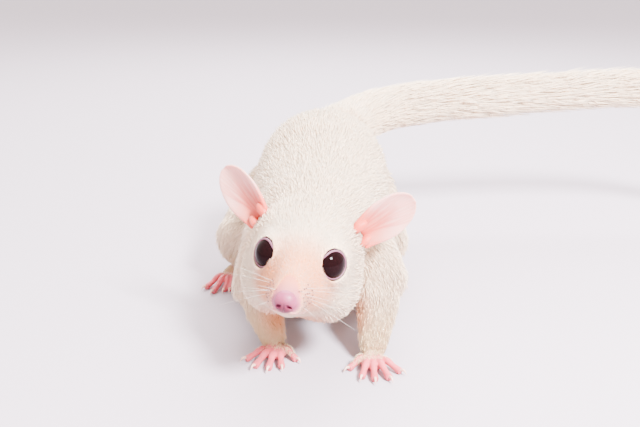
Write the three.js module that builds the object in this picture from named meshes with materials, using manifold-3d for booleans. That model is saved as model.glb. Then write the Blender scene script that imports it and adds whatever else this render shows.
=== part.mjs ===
// A life-size sugar glider with a white coat and dark eyes, crouched on all fours with its head
// lifted towards the viewer and its bushy tail carried out to its left.
//
// Millimetres. +X is the animal's left, +Y runs from nose to rump, +Z is up, and the soles rest on z = 0.
// The trunk and the limbs are smooth blends of ellipsoids and tapered rods. Each blend is meshed by a
// surface net and cut into named nodes, with a narrow gap where two of them meet.
import * as THREE from "three";
import { mergeVertices } from "three/addons/utils/BufferGeometryUtils.js";
import { LoftGeometry } from "three/addons/geometries/LoftGeometry.js";
import Module from "manifold-3d";

const wasm = await Module();
wasm.setup();

const V = (x, y, z) => new THREE.Vector3(x, y, z);
const degrees = THREE.MathUtils.degToRad;
const { lerp, clamp, smoothstep } = THREE.MathUtils;

// Gap left between two touching nodes.
const GAP = 0.3;
// Slivers thinner than this, left by a cut, are closed up: on most nodes, and on the long coat.
const FINEST = 0.09;
const FINEST_COAT = 0.22;

// The head's own frame has its origin midway between the eyes, +X to the animal's left, +Y to the nape.
const HEAD = {
  place: V(-5.4, -8.5, 34.3),
  yaw: degrees(-8),
  pitch: degrees(-7),
  roll: degrees(7),
  cell: 2.05,
  coarseFrom: 5,
  coarseBy: 1.8,
  napeCut: 18.5,
  napeEnd: 27,
  low: V(-25, -21, -27),
  high: V(25, 0, 20),
};
const EYE = {
  radius: 4.9,
  surface: V(10.3, -1.3, 0.2),
  outward: V(0.68, -0.72, 0.14).normalize(),
  openingWide: 4.2,
  openingTall: 4.25,
  windowNarrowing: 0.6,
  windowLong: 8,
  windowPlace: 5.5,
  lid: 0.72,
  lidProud: 0.35,
  corner: 0.5,
  cornerSpread: 0.35,
};
const EAR = {
  root: V(12.4, 14, 4.2),
  tip: V(26.5, 17.6, 17.2),
  halfWidth: 5.9,
  rows: 10,
  columns: 8,
  thickBase: 1.3,
  thickRim: 0.7,
  facing: V(0.42, -0.9, -0.05),
  buried: 0.16,
  widest: 0.5,
  rootWidth: 0.52,
  rollBase: 1.3,
  rollTip: 0.55,
  cup: 1.25,
  lean: 1.2,
};
const MOUTH = {
  from: -6,
  angles: [0, 22, 45, 68, 92].map(degrees),
  levels: [-9.7, -9.9, -10.1, -9.8, -9],
  lipRadii: [0.7, 0.75, 0.75, 0.65, 0.45],
  lipInset: 0.97,
  lipBack: 0.25,
  lipApart: 0.62,
  lowerSetBack: 0.5,
  grooveRadii: [0.42, 0.45, 0.45, 0.4, 0.25],
  grooveOutset: 1.03,
  grooveForward: 0.3,
};
const NOSE = {
  tip: V(0, -16.7, -7.2),
  half: V(2.7, 1.9, 2.4),
  nostrilHalf: V(0.75, 1.3, 0.5),
  nostrilTurn: -0.5,
  nostrilPlace: V(1.35, -16.15, -7.75),
};

// Trunk, in the animal's frame.
const NECK = { from: V(-3.6, 8, 31), to: V(-1.5, 32, 28), rFrom: 13.2, rTo: 17 };
const THORAX = { centre: V(-1, 36, 26.5), half: V(19, 26, 19) };
const BELLY = { centre: V(0, 60, 27), half: V(22.5, 28, 22.6) };
const RUMP = { centre: V(1, 80, 31), half: V(22.5, 23, 24) };
const TRUNK = { cell: 4.8, blend: 8, neckCut: 26, low: V(-36, -5, -6), high: V(36, 112, 66) };

// Limbs: joint places from the trunk outwards, and the radius of the furred limb at each.
const LIMB_CELL = 3.7;
const ARMS = {
  left: {
    joints: [V(11, 27, 27), V(17.5, 17, 19), V(14.8, 2.5, 4.2)],
    radii: [10, 7.4, 4.6],
    heading: degrees(6),
    palm: V(14.6, -1.2, 1.2),
  },
  right: {
    joints: [V(-13, 27, 26), V(-18.5, 19, 16), V(-13.4, 8.6, 4.2)],
    radii: [10, 7, 4.4],
    heading: degrees(-14),
    palm: V(-12.7, 5, 1.2),
  },
};
const LEGS = {
  left: {
    joints: [V(12, 79, 25), V(20, 60, 15.5), V(19.5, 72, 4.6)],
    radii: [15, 9, 3.6],
    heading: degrees(12),
    palm: V(20.3, 66, 1.5),
  },
  right: {
    joints: [V(-12, 79, 25), V(-25, 60, 16), V(-27.5, 71, 4.6)],
    radii: [15, 9.2, 3.6],
    heading: degrees(-17),
    palm: V(-29.2, 64.5, 1.5),
  },
};

// A claw's radius at its root, half way and at its point.
const CLAW_RADII = [0.62, 0.5, 0.16];
// A digit: where it leaves the palm across and along, its splay, its length and its radius.
const HAND = {
  palm: V(3.7, 3.9, 2.2),
  wrist: 3.2,
  digits: [
    { across: -3, along: -0.6, splay: degrees(52), length: 5.2, radius: 1.1 },
    { across: -2, along: 1.9, splay: degrees(21), length: 6.3, radius: 1.12 },
    { across: -0.5, along: 2.6, splay: degrees(4), length: 7, radius: 1.15 },
    { across: 1.2, along: 2.3, splay: degrees(-15), length: 7.2, radius: 1.15 },
    { across: 2.6, along: 1.1, splay: degrees(-42), length: 6.2, radius: 1.1 },
  ],
  arch: 1.5,
  claw: 2.1,
  cuff: 1.2,
};
const FOOT = {
  palm: V(3.7, 8.4, 2.5),
  wrist: 3.1,
  digits: [
    { across: -2.6, along: 1.5, splay: degrees(62), length: 7.2, radius: 1.5, clawless: true },
    { across: -1.9, along: 6.6, splay: degrees(12), length: 6.6, radius: 0.95 },
    { across: -0.7, along: 7.2, splay: degrees(7), length: 6.9, radius: 0.95 },
    { across: 0.9, along: 7.2, splay: degrees(-3), length: 9.2, radius: 1.15 },
    { across: 2.5, along: 6.1, splay: degrees(-20), length: 8, radius: 1.1 },
  ],
  arch: 1.6,
  claw: 2.2,
  cuff: 0.4,
};

// Gliding membrane, folded into a soft ruffle along each flank.
const MEMBRANE = {
  left: [V(16.5, 20, 15), V(21, 33, 12.5), V(22.5, 46, 11.5), V(22.5, 60, 10.5)],
  right: [V(-17.5, 22, 14), V(-21.5, 34, 12.5), V(-23.5, 46, 11.5), V(-26, 60, 10.5)],
  halfHeight: 7.2,
  halfThick: 2.1,
  ruffle: 0.9,
  waves: 5,
  stations: 13,
  sides: 8,
};

// Tail: the middle line, and the radius along it of the flesh with the close undercoat.
const TAIL = {
  line: [
    V(3, 92, 36), V(7, 103, 42.5), V(19, 110.5, 48.5), V(40, 113.5, 52), V(70, 115.5, 54),
    V(105, 118, 56.2), V(136, 117, 57), V(160, 110, 53.5), V(174, 99, 47),
  ],
  core: [6.4, 5.4, 4.7, 4.3, 4.2, 4.1, 3.8, 3, 1.3],
  sides: 7,
  rings: 12,
  cuts: [0.36, 0.69],
  coreEnd: 0.94,
};
// The tail's coat: flat tapered locks in staggered rings, each rooted in the core and lying towards
// the tip. The last three lists give, from root to tip of a lock, the place, width and thickness.
const LOCKS = {
  around: 5,
  spacing: 15.2,
  length: 20.5,
  width: 7,
  thick: 1.6,
  depth: 2.9,
  tipDepth: 1.5,
  rootDepth: 1.2,
  narrowest: 0.66,
  narrowFrom: 0.72,
  seed: 11,
  steps: [0, 0.38, 0.76, 1],
  wide: [0.8, 1, 0.8, 0.14],
  deep: [1, 1, 0.75, 0.2],
};

// Turns a closed surface into a solid.
function solidOf(geometry) {
  const bare = geometry.index ? geometry.toNonIndexed() : geometry.clone();
  const shell = new THREE.BufferGeometry().setAttribute("position", bare.getAttribute("position"));
  const merged = mergeVertices(shell, 1e-4);
  return new wasm.Manifold(
    new wasm.Mesh({
      numProp: 3,
      vertProperties: merged.attributes.position.array,
      triVerts: new Uint32Array(merged.index.array),
    }),
  );
}

// Turns a solid back into a surface.
function geometryOf(solid) {
  const mesh = solid.getMesh();
  return new THREE.BufferGeometry()
    .setAttribute("position", new THREE.BufferAttribute(new Float32Array(mesh.vertProperties), 3))
    .setIndex(new THREE.BufferAttribute(new Uint32Array(mesh.triVerts), 1));
}

// The largest closed surface of a solid, without scraps or sealed hollows.
function largest(solid) {
  const piece = solid.decompose().reduce((a, b) => (b.volume() > a.volume() ? b : a));
  const { vertProperties, triVerts, numVert } = piece.getMesh();
  const owner = Array.from({ length: numVert }, (_, i) => i);
  const find = (i) => {
    while (owner[i] !== i) i = owner[i] = owner[owner[i]];
    return i;
  };
  for (let t = 0; t < triVerts.length; t += 3) {
    owner[find(triVerts[t])] = find(triVerts[t + 1]);
    owner[find(triVerts[t + 1])] = find(triVerts[t + 2]);
  }
  const surfaces = new Map();
  for (let t = 0; t < triVerts.length; t += 3) {
    const key = find(triVerts[t]);
    if (!surfaces.has(key)) surfaces.set(key, []);
    surfaces.get(key).push(triVerts[t], triVerts[t + 1], triVerts[t + 2]);
  }
  if (surfaces.size === 1) return piece;
  const biggest = [...surfaces.values()].reduce((a, b) => (b.length > a.length ? b : a));
  const position = new THREE.BufferAttribute(new Float32Array(vertProperties), 3);
  return solidOf(new THREE.BufferGeometry().setAttribute("position", position).setIndex(biggest));
}

// The value at a share u of the way along evenly spaced values.
const stepped = (values, u) => {
  const s = clamp(u, 0, 1) * (values.length - 1);
  const i = Math.min(Math.floor(s), values.length - 2);
  return lerp(values[i], values[i + 1], s - i);
};

const joined = (solids) => solids.reduce((whole, next) => whole.add(next));
const cutBy = (solid, ...others) => largest(others.reduce((left, other) => left.subtract(other), solid));

// The part of a solid on the side of a plane that the normal points to, half a gap clear of it.
function beyond(solid, point, normal) {
  const n = normal.clone().normalize();
  return solid.trimByPlane(n.toArray(), n.dot(point) + GAP / 2);
}

// Distance fields: each takes a point and gives about the distance to a surface, negative inside.
function ellipsoid(centre, half) {
  return (p) => {
    const x = (p.x - centre.x) / half.x;
    const y = (p.y - centre.y) / half.y;
    const z = (p.z - centre.z) / half.z;
    const k0 = Math.hypot(x, y, z);
    const k1 = Math.hypot(x / half.x, y / half.y, z / half.z) || 1e-9;
    return (k0 * (k0 - 1)) / k1;
  };
}

function taperedRod(from, to, rFrom, rTo) {
  const axis = to.clone().sub(from);
  const long = axis.lengthSq();
  return (p) => {
    const d = p.clone().sub(from);
    const t = clamp(d.dot(axis) / long, 0, 1);
    return d.addScaledVector(axis, -t).length() - lerp(rFrom, rTo, t);
  };
}

function blended(softness, ...fields) {
  return (p) =>
    fields
      .map((f) => f(p))
      .reduce((a, b) => {
        const h = Math.max(softness - Math.abs(a - b), 0) / softness;
        return Math.min(a, b) - (h * h * softness) / 4;
      });
}

const mirrored = (field) => (p) => field(V(Math.abs(p.x), p.y, p.z));
const placed = (field, matrix) => {
  const inverse = matrix.clone().invert();
  return (p) => field(p.clone().applyMatrix4(inverse));
};
const grown = (field, by) => (p) => field(p) - by;

// Meshes the zero surface of a field inside a box by a surface net: one vertex for each cell that the
// surface crosses, drawn onto the surface, and one quad for each grid edge that it crosses. A form that
// runs out of the box is closed one cell inside it.
function surfaceNet(form, low, high, cell) {
  const inner = new THREE.Box3(low.clone(), high.clone()).expandByScalar(-1.5 * cell);
  const field = (p) =>
    Math.max(
      form(p),
      Math.max(inner.min.x - p.x, p.x - inner.max.x),
      Math.max(inner.min.y - p.y, p.y - inner.max.y),
      Math.max(inner.min.z - p.z, p.z - inner.max.z),
    );
  const count = high.clone().sub(low).divideScalar(cell).ceil().addScalar(1);
  const [nx, ny, nz] = count.toArray();
  const at = (i, j, k) => V(low.x + i * cell, low.y + j * cell, low.z + k * cell);
  const index = (i, j, k) => (k * ny + j) * nx + i;
  const value = new Float32Array(nx * ny * nz);
  for (let k = 0; k < nz; k++)
    for (let j = 0; j < ny; j++) for (let i = 0; i < nx; i++) value[index(i, j, k)] = field(at(i, j, k));

  const onto = (p) => {
    const h = cell * 0.05;
    for (let pass = 0; pass < 3; pass++) {
      const f = field(p);
      const slope = V(
        field(V(p.x + h, p.y, p.z)) - f,
        field(V(p.x, p.y + h, p.z)) - f,
        field(V(p.x, p.y, p.z + h)) - f,
      ).divideScalar(h);
      const step = clamp(f / Math.max(slope.lengthSq(), 0.05), -cell / 2, cell / 2);
      p.addScaledVector(slope, -step);
    }
    return p;
  };
  const corners = [0, 1, 2, 3, 4, 5, 6, 7].map((c) => [c & 1, (c >> 1) & 1, (c >> 2) & 1]);
  const points = [];
  const vertexOf = new Map();
  for (let k = 0; k < nz - 1; k++)
    for (let j = 0; j < ny - 1; j++)
      for (let i = 0; i < nx - 1; i++) {
        const crossings = [];
        corners.forEach((a, ia) =>
          [1, 2, 4].forEach((bit) => {
            if (ia & bit) return;
            const b = corners[ia | bit];
            const fa = value[index(i + a[0], j + a[1], k + a[2])];
            const fb = value[index(i + b[0], j + b[1], k + b[2])];
            if (fa < 0 === fb < 0) return;
            const start = at(i + a[0], j + a[1], k + a[2]);
            crossings.push(start.lerp(at(i + b[0], j + b[1], k + b[2]), fa / (fa - fb)));
          }),
        );
        if (!crossings.length) continue;
        const middle = crossings.reduce((s, p) => s.add(p), V(0, 0, 0)).divideScalar(crossings.length);
        vertexOf.set(index(i, j, k), points.length);
        points.push(onto(middle));
      }

  const faces = [];
  const quad = (a, b, c, d, turned) => {
    const q = turned ? [a, d, c, b] : [a, b, c, d];
    const [p0, p1, p2, p3] = q.map((n) => points[n]);
    if (p0.distanceToSquared(p2) < p1.distanceToSquared(p3)) faces.push(q[0], q[1], q[2], q[0], q[2], q[3]);
    else faces.push(q[0], q[1], q[3], q[1], q[2], q[3]);
  };
  for (let k = 1; k < nz - 1; k++)
    for (let j = 1; j < ny - 1; j++)
      for (let i = 1; i < nx - 1; i++) {
        const inside = value[index(i, j, k)] < 0;
        const near = (di, dj, dk) => vertexOf.get(index(i + di, j + dj, k + dk));
        if (inside !== value[index(i + 1, j, k)] < 0)
          quad(near(0, -1, -1), near(0, 0, -1), near(0, 0, 0), near(0, -1, 0), !inside);
        if (inside !== value[index(i, j + 1, k)] < 0)
          quad(near(-1, 0, -1), near(-1, 0, 0), near(0, 0, 0), near(0, 0, -1), !inside);
        if (inside !== value[index(i, j, k + 1)] < 0)
          quad(near(-1, -1, 0), near(0, -1, 0), near(0, 0, 0), near(-1, 0, 0), !inside);
      }
  return new THREE.BufferGeometry()
    .setAttribute("position", new THREE.Float32BufferAttribute(points.flatMap((p) => p.toArray()), 3))
    .setIndex(faces);
}

// A closed form through rings of points.
function lofted(sections) {
  const loft = new LoftGeometry(sections, { capStart: true, capEnd: true });
  return new THREE.BufferGeometry().setAttribute("position", loft.attributes.position).setIndex(loft.index);
}

// A closed rod along a smooth line, with a radius for each of its points and rounded ends.
function rod(line, radii, sides, rings) {
  const curve = new THREE.CatmullRomCurve3(line);
  const sections = [];
  let side = null;
  const addRing = (t, along, scale) => {
    const forward = curve.getTangent(t);
    side ??= Math.abs(forward.z) > 0.9 ? V(1, 0, 0) : V(0, 0, 1);
    const across = side.clone().cross(forward).normalize();
    side = forward.clone().cross(across).normalize();
    const middle = curve.getPoint(t).addScaledVector(forward, along * stepped(radii, t));
    sections.push(
      Array.from({ length: sides }, (_, n) => {
        const angle = (2 * Math.PI * n) / sides;
        const r = stepped(radii, t) * scale;
        return middle
          .clone()
          .addScaledVector(across, Math.cos(angle) * r)
          .addScaledVector(side, Math.sin(angle) * r);
      }),
    );
  };
  const endReach = 0.75;
  const endScale = 0.55;
  addRing(0, -endReach, endScale);
  for (let i = 0; i <= rings; i++) addRing(i / rings, 0, 1);
  addRing(1, endReach, endScale);
  return lofted(sections);
}

// Solids whose loft comes out inside in are turned round.
function rightWayOut(geometry) {
  const solid = solidOf(geometry);
  if (solid.volume() > 0) return solid;
  const turned = geometry.index.array.slice();
  for (let i = 0; i < turned.length; i += 3) [turned[i], turned[i + 1]] = [turned[i + 1], turned[i]];
  return solidOf(geometry.clone().setIndex(Array.from(turned)));
}

const model = new THREE.Group();
const COLOURS = {
  coat: { color: 0xf6eee4, roughness: 0.85, metalness: 0 },
  skin: { color: 0xe9a9a4, roughness: 0.6, metalness: 0 },
  eye: { color: 0x1d090c, roughness: 0.08, metalness: 0 },
};

function addNode(name, solid, finish, finest = FINEST) {
  const clean = largest(largest(solid).setTolerance(finest));
  const mesh = new THREE.Mesh(geometryOf(clean), new THREE.MeshStandardMaterial(COLOURS[finish]));
  mesh.name = name;
  model.add(mesh);
}

// Head: skull, cheeks, muzzle, whisker pads and jaw in the head's own frame.
const headMatrix = new THREE.Matrix4()
  .makeTranslation(HEAD.place)
  .multiply(new THREE.Matrix4().makeRotationZ(HEAD.yaw))
  .multiply(new THREE.Matrix4().makeRotationX(HEAD.pitch))
  .multiply(new THREE.Matrix4().makeRotationY(HEAD.roll));
const headPoint = (p) => p.clone().applyMatrix4(headMatrix);
const headWay = (d) => d.clone().transformDirection(headMatrix);
const eyeCentre = EYE.surface.clone().addScaledVector(EYE.outward, -EYE.radius);
const headField = mirrored(
  blended(
    4,
    ellipsoid(V(0, 11.5, -0.4), V(14.2, 15.5, 12.3)),
    ellipsoid(V(6.8, 9.5, -8.4), V(9.6, 11, 10.4)),
    taperedRod(V(0, 1, -3.2), V(0, -13.2, -7.2), 8.2, 3),
    ellipsoid(V(2.5, -8.8, -8.1), V(2.9, 4.8, 2.8)),
    ellipsoid(V(4.6, -0.5, -8), V(5.2, 6.5, 5.6)),
    taperedRod(V(0, 4, -11), V(0, -8.4, -10.7), 5.6, 2.4),
    ellipsoid(eyeCentre.clone().addScaledVector(EYE.outward, -1.6), V(5, 5, 5)),
  ),
);

// Trunk: head, neck, chest, belly and rump in one smooth form.
const trunkField = blended(
  TRUNK.blend,
  placed(headField, headMatrix),
  taperedRod(NECK.from, NECK.to, NECK.rFrom, NECK.rTo),
  ellipsoid(THORAX.centre, THORAX.half),
  ellipsoid(BELLY.centre, BELLY.half),
  ellipsoid(RUMP.centre, RUMP.half),
);
const napePoint = headPoint(V(0, HEAD.napeCut, -2));
const napeWay = headWay(V(0, 1, 0.12));
const neckPoint = V(0, TRUNK.neckCut, 28);
const neckWay = V(0, 1, 0.1);

function trunkSolid(extra) {
  return solidOf(surfaceNet(grown(trunkField, extra), TRUNK.low, TRUNK.high, TRUNK.cell));
}

// The head out of the trunk's form, meshed in its own frame with a finer net at the face than at the nape.
function headSolid(extra) {
  const stretched = (p) => p.clone().setY(p.y + Math.max(p.y - HEAD.coarseFrom, 0) * (HEAD.coarseBy - 1));
  const local = (p) => trunkField(headPoint(stretched(p))) - extra;
  const back = HEAD.coarseFrom + (HEAD.napeEnd - HEAD.coarseFrom) / HEAD.coarseBy;
  const net = surfaceNet(local, HEAD.low, HEAD.high.clone().setY(back + HEAD.cell), HEAD.cell);
  const position = net.attributes.position;
  const p = V(0, 0, 0);
  for (let i = 0; i < position.count; i++) {
    p.copy(stretched(p.fromBufferAttribute(position, i)));
    position.setXYZ(i, p.x, p.y, p.z);
  }
  return solidOf(net.applyMatrix4(headMatrix));
}

// A piece given for the head's left side, put on both sides, in the animal's frame.
function onHead(geometry, side) {
  const flip = new THREE.Matrix4().makeScale(side, 1, 1);
  return rightWayOut(geometry.clone().applyMatrix4(headMatrix.clone().multiply(flip)));
}

// The ring of the lids: round, with a slight point at the corner next to the nose.
function lidRing(thick, grow) {
  const ring = new THREE.TorusGeometry(1, thick, 5, 16);
  const position = ring.attributes.position;
  const p = V(0, 0, 0);
  for (let i = 0; i < position.count; i++) {
    p.fromBufferAttribute(position, i);
    const angle = Math.atan2(p.y, p.x);
    const corner = EYE.corner * Math.exp(-(((Math.abs(angle) - Math.PI) / EYE.cornerSpread) ** 2));
    const round = Math.hypot(EYE.openingWide * Math.cos(angle), EYE.openingTall * Math.sin(angle));
    const reach = round + corner + grow;
    const offset = Math.hypot(p.x, p.y) - 1;
    position.setXYZ(i, Math.cos(angle) * (reach + offset), Math.sin(angle) * (reach + offset), p.z);
  }
  return ring;
}

// A piece built about the origin, set on the line that runs forward out of the eye.
function alongEye(geometry, forward) {
  const frame = new THREE.Matrix4().lookAt(EYE.outward, V(0, 0, 0), V(0, 0, 1));
  const centre = eyeCentre.clone().addScaledVector(EYE.outward, forward);
  return geometry.applyMatrix4(frame.setPosition(centre));
}

// The line of the mouth: round the front of the muzzle on its surface, and back to the corners.
function mouthPoint(angle, level) {
  const way = V(Math.sin(angle), -Math.cos(angle), 0);
  const from = V(0, MOUTH.from, level);
  let inside = 0;
  let outside = 30;
  for (let pass = 0; pass < 24; pass++) {
    const middle = (inside + outside) / 2;
    if (headField(from.clone().addScaledVector(way, middle)) < 0) inside = middle;
    else outside = middle;
  }
  return from.addScaledVector(way, inside);
}
const mouthLine = MOUTH.angles.map((angle, i) => mouthPoint(angle, MOUTH.levels[i]));

function buildHead() {
  const openingDepth = Math.sqrt(EYE.radius ** 2 - EYE.openingWide ** 2);
  const ball = new THREE.SphereGeometry(EYE.radius + GAP, 12, 8).translate(...eyeCentre.toArray());
  const windowBack = EYE.openingWide - EYE.windowNarrowing;
  const tube = new THREE.CylinderGeometry(EYE.openingWide, windowBack, EYE.windowLong, 14);
  const window = alongEye(tube.rotateX(Math.PI / 2), EYE.windowPlace);
  const lids = alongEye(lidRing(EYE.lid, EYE.lidProud), openingDepth + EYE.lidProud);
  const pad = new THREE.SphereGeometry(1, 10, 8)
    .scale(...NOSE.half.toArray())
    .translate(0, NOSE.tip.y + NOSE.half.y, NOSE.tip.z);
  const nostril = new THREE.SphereGeometry(1, 6, 5)
    .scale(...NOSE.nostrilHalf.toArray())
    .rotateZ(NOSE.nostrilTurn)
    .translate(...NOSE.nostrilPlace.toArray());
  const lip = (drop, setBack) => {
    const line = mouthLine.map((p) => V(p.x * MOUTH.lipInset, p.y + MOUTH.lipBack + setBack, p.z + drop));
    return rod(line, MOUTH.lipRadii, 5, 5);
  };
  const grooveLine = mouthLine.map((p) => V(p.x * MOUTH.grooveOutset, p.y - MOUTH.grooveForward, p.z));
  const groove = rod(grooveLine, MOUTH.grooveRadii, 4, 5);
  const flesh = [
    headSolid(0),
    onHead(pad, 1),
    ...[1, -1].flatMap((side) => [
      onHead(lids, side),
      onHead(lip(MOUTH.lipApart, 0), side),
      onHead(lip(-MOUTH.lipApart, MOUTH.lowerSetBack), side),
    ]),
  ];
  const cuts = [1, -1].flatMap((side) => [
    onHead(ball, side),
    onHead(window, side),
    onHead(nostril, side),
    onHead(groove, side),
  ]);
  return beyond(cutBy(joined(flesh), ...cuts), napePoint, napeWay.clone().negate());
}

// Ear: a thin cup with an oval rim, whose edges roll together towards the root.
function earShell() {
  const { rows, columns } = EAR;
  const length = EAR.tip.distanceTo(EAR.root);
  const up = EAR.tip.clone().sub(EAR.root).normalize();
  const facing = EAR.facing.clone();
  facing.addScaledVector(up, -facing.dot(up)).normalize();
  const across = up.clone().cross(facing);
  const front = [];
  const back = [];
  for (let r = 0; r <= rows; r++) {
    const t = lerp(-EAR.buried, 1, 1 - (1 - r / rows) ** 1.45);
    const past = Math.max(t - EAR.widest, 0) / (1.005 - EAR.widest);
    const rounded = Math.sqrt(Math.max(1 - past ** 2.3, 0.02));
    const spread = lerp(EAR.rootWidth, 1, smoothstep(t, -0.15, 0.55));
    const width = EAR.halfWidth * rounded * spread;
    const roll = lerp(EAR.rollBase, EAR.rollTip, clamp(t * 1.5 + 0.1, 0, 1));
    const middle = EAR.root.clone().addScaledVector(up, t * length);
    for (let c = 0; c <= columns; c++) {
      const v = lerp(-1, 1, c / columns);
      const bend = v * roll;
      const depth = (width * (Math.cos(bend) - Math.cos(roll))) / Math.max(roll, 0.3);
      const thick = lerp(EAR.thickBase, EAR.thickRim, clamp(Math.max(t, Math.abs(v) * 0.8), 0, 1)) / 2;
      const point = middle
        .clone()
        .addScaledVector(across, (width * Math.sin(bend)) / Math.sin(roll))
        .addScaledVector(facing, EAR.lean * (1 - t * t) - depth * EAR.cup);
      const out = facing.clone().multiplyScalar(Math.cos(bend)).addScaledVector(across, -Math.sin(bend));
      front.push(point.clone().addScaledVector(out, thick));
      back.push(point.clone().addScaledVector(out, -thick));
    }
  }
  const wide = columns + 1;
  const points = [...front, ...back];
  const rear = front.length;
  const faces = [];
  const quad = (a, b, c, d) => faces.push(a, b, c, a, c, d);
  for (let r = 0; r < rows; r++)
    for (let c = 0; c < columns; c++) {
      const a = r * wide + c;
      quad(a, a + 1, a + wide + 1, a + wide);
      quad(rear + a, rear + a + wide, rear + a + wide + 1, rear + a + 1);
    }
  for (let c = 0; c < columns; c++) {
    const top = rows * wide + c;
    quad(c, rear + c, rear + c + 1, c + 1);
    quad(top, top + 1, rear + top + 1, rear + top);
  }
  for (let r = 0; r < rows; r++) {
    const a = r * wide;
    const b = a + columns;
    quad(a, a + wide, rear + a + wide, rear + a);
    quad(b, rear + b, rear + b + wide, b + wide);
  }
  return new THREE.BufferGeometry()
    .setAttribute("position", new THREE.Float32BufferAttribute(points.flatMap((p) => p.toArray()), 3))
    .setIndex(faces);
}

const headClear = headSolid(GAP);
const trunkClear = trunkSolid(GAP).add(headClear);

addNode("head", buildHead(), "coat");
const trunk = trunkSolid(0);
addNode("neck", beyond(beyond(trunk, napePoint, napeWay), neckPoint, neckWay.clone().negate()), "coat");
addNode("torso", beyond(trunk, neckPoint, neckWay), "coat");

for (const [side, sign] of Object.entries({ left: 1, right: -1 })) {
  const ball = new THREE.SphereGeometry(EYE.radius, 14, 10).translate(...eyeCentre.toArray());
  addNode(`eye_${side}`, onHead(ball, sign), "eye");
  addNode(`ear_${side}`, cutBy(onHead(earShell(), sign), headClear), "skin");
}

// A hand or foot, built with its digits forward along -Y and its thumb towards -X, then turned and
// placed. Each digit runs level out of the palm, arches down and ends on the floor.
function paw(shape, sign, heading, place, wrist) {
  const palm = new THREE.SphereGeometry(1, 10, 8).scale(...shape.palm.toArray());
  const pieces = [solidOf(palm.translate(0, 0, 0.3))];
  for (const d of shape.digits) {
    const way = V(-Math.sin(d.splay), -Math.cos(d.splay), 0);
    const root = V(d.across, -d.along, 0.7).addScaledVector(way, -1.4);
    const reach = d.length + 1.4;
    const point = (t, z) => root.clone().addScaledVector(way, reach * t).setZ(z);
    const low = d.radius * 0.8 - place.z;
    const line = [root, point(0.42, shape.arch - 0.4), point(0.75, 0.5 + low), point(1, low)];
    const r = d.radius;
    pieces.push(rightWayOut(rod(line, [r, r * 0.95, r * 0.85, r * 0.95], 5, 2)));
    if (d.clawless) continue;
    const beyondTip = (share) => 1 + (shape.claw * share) / reach;
    const claw = [point(1, low + 0.25), point(beyondTip(0.45), low + 0.55), point(beyondTip(1), low - 0.1)];
    pieces.push(rightWayOut(rod(claw, CLAW_RADII, 4, 1)));
  }
  const spot = new THREE.Matrix4()
    .makeTranslation(place)
    .multiply(new THREE.Matrix4().makeRotationZ(heading))
    .multiply(new THREE.Matrix4().makeScale(sign, 1, 1));
  const stem = rod([place, place.clone().lerp(wrist, 0.5), wrist], [shape.wrist, shape.wrist], 7, 2);
  return rightWayOut(geometryOf(joined(pieces)).applyMatrix4(spot)).add(rightWayOut(stem));
}

// A limb of two lengths and a paw. Each piece is cut clear of what it grows from and trimmed at the floor.
function limb(shape, limbData, sign, names, seats) {
  const { joints, radii } = limbData;
  const near = taperedRod(joints[0], joints[1], radii[0], radii[1]);
  const far = taperedRod(joints[1], joints[2], radii[1] * 0.94, radii[2]);
  const box = new THREE.Box3().setFromPoints(joints).expandByScalar(radii[0] + 3);
  const meshed = (field) => solidOf(surfaceNet(field, box.min, box.max, LIMB_CELL));
  const flat = (solid) => solid.trimByPlane([0, 0, 1], 0);
  const farWay = joints[2].clone().sub(joints[1]).normalize();
  const pawSolid = paw(shape, sign, limbData.heading, limbData.palm, joints[2]);
  const cuff = joints[2].clone().addScaledVector(farWay, shape.cuff);
  const nearClear = meshed(grown(near, GAP));
  const towardsBody = farWay.clone().negate();
  const lowerClear = meshed(grown(far, GAP)).trimByPlane(towardsBody.toArray(), towardsBody.dot(cuff));
  const lower = beyond(meshed(far), cuff, towardsBody);
  addNode(names[0], cutBy(flat(meshed(near)), seats), "coat");
  addNode(names[1], cutBy(flat(lower), seats, nearClear), "coat");
  addNode(names[2], cutBy(flat(pawSolid), seats, nearClear, lowerClear), "skin");
  return nearClear.add(lowerClear).add(pawSolid);
}

const limbsClear = [];
for (const [side, sign] of Object.entries({ left: 1, right: -1 })) {
  const armNames = [`upper_arm_${side}`, `forearm_${side}`, `hand_${side}`];
  const legNames = [`thigh_${side}`, `lower_leg_${side}`, `foot_${side}`];
  limbsClear.push(limb(HAND, ARMS[side], sign, armNames, trunkClear));
  limbsClear.push(limb(FOOT, LEGS[side], sign, legNames, trunkClear));
}

// Folded gliding membrane: a tall thin rod whose lower edge ruffles.
function membrane(line) {
  const curve = new THREE.CatmullRomCurve3(line);
  const { stations, sides } = MEMBRANE;
  const sections = Array.from({ length: stations + 1 }, (_, i) => {
    const t = i / stations;
    const middle = curve.getPoint(t);
    const forward = curve.getTangent(t);
    const out = V(forward.y, -forward.x, 0).normalize();
    const swell = Math.sqrt(Math.sin(Math.PI * lerp(0.06, 0.94, t)));
    const wave = MEMBRANE.ruffle * Math.sin(2 * Math.PI * MEMBRANE.waves * t);
    return Array.from({ length: sides }, (_, n) => {
      const angle = (-2 * Math.PI * n) / sides;
      const low = Math.max(-Math.sin(angle), 0);
      return middle
        .clone()
        .addScaledVector(out, Math.cos(angle) * MEMBRANE.halfThick * swell + low * wave)
        .add(V(0, 0, Math.sin(angle) * MEMBRANE.halfHeight * swell));
    });
  });
  return rightWayOut(lofted(sections));
}

addNode("membrane_left", cutBy(membrane(MEMBRANE.left), trunkClear, ...limbsClear), "coat");
addNode("membrane_right", cutBy(membrane(MEMBRANE.right), trunkClear, ...limbsClear), "coat");

// Tail in three lengths: a smooth core, and the locks of its coat from root to tip.
const tailCurve = new THREE.CatmullRomCurve3(TAIL.line);
const tailLong = tailCurve.getLength();

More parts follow.
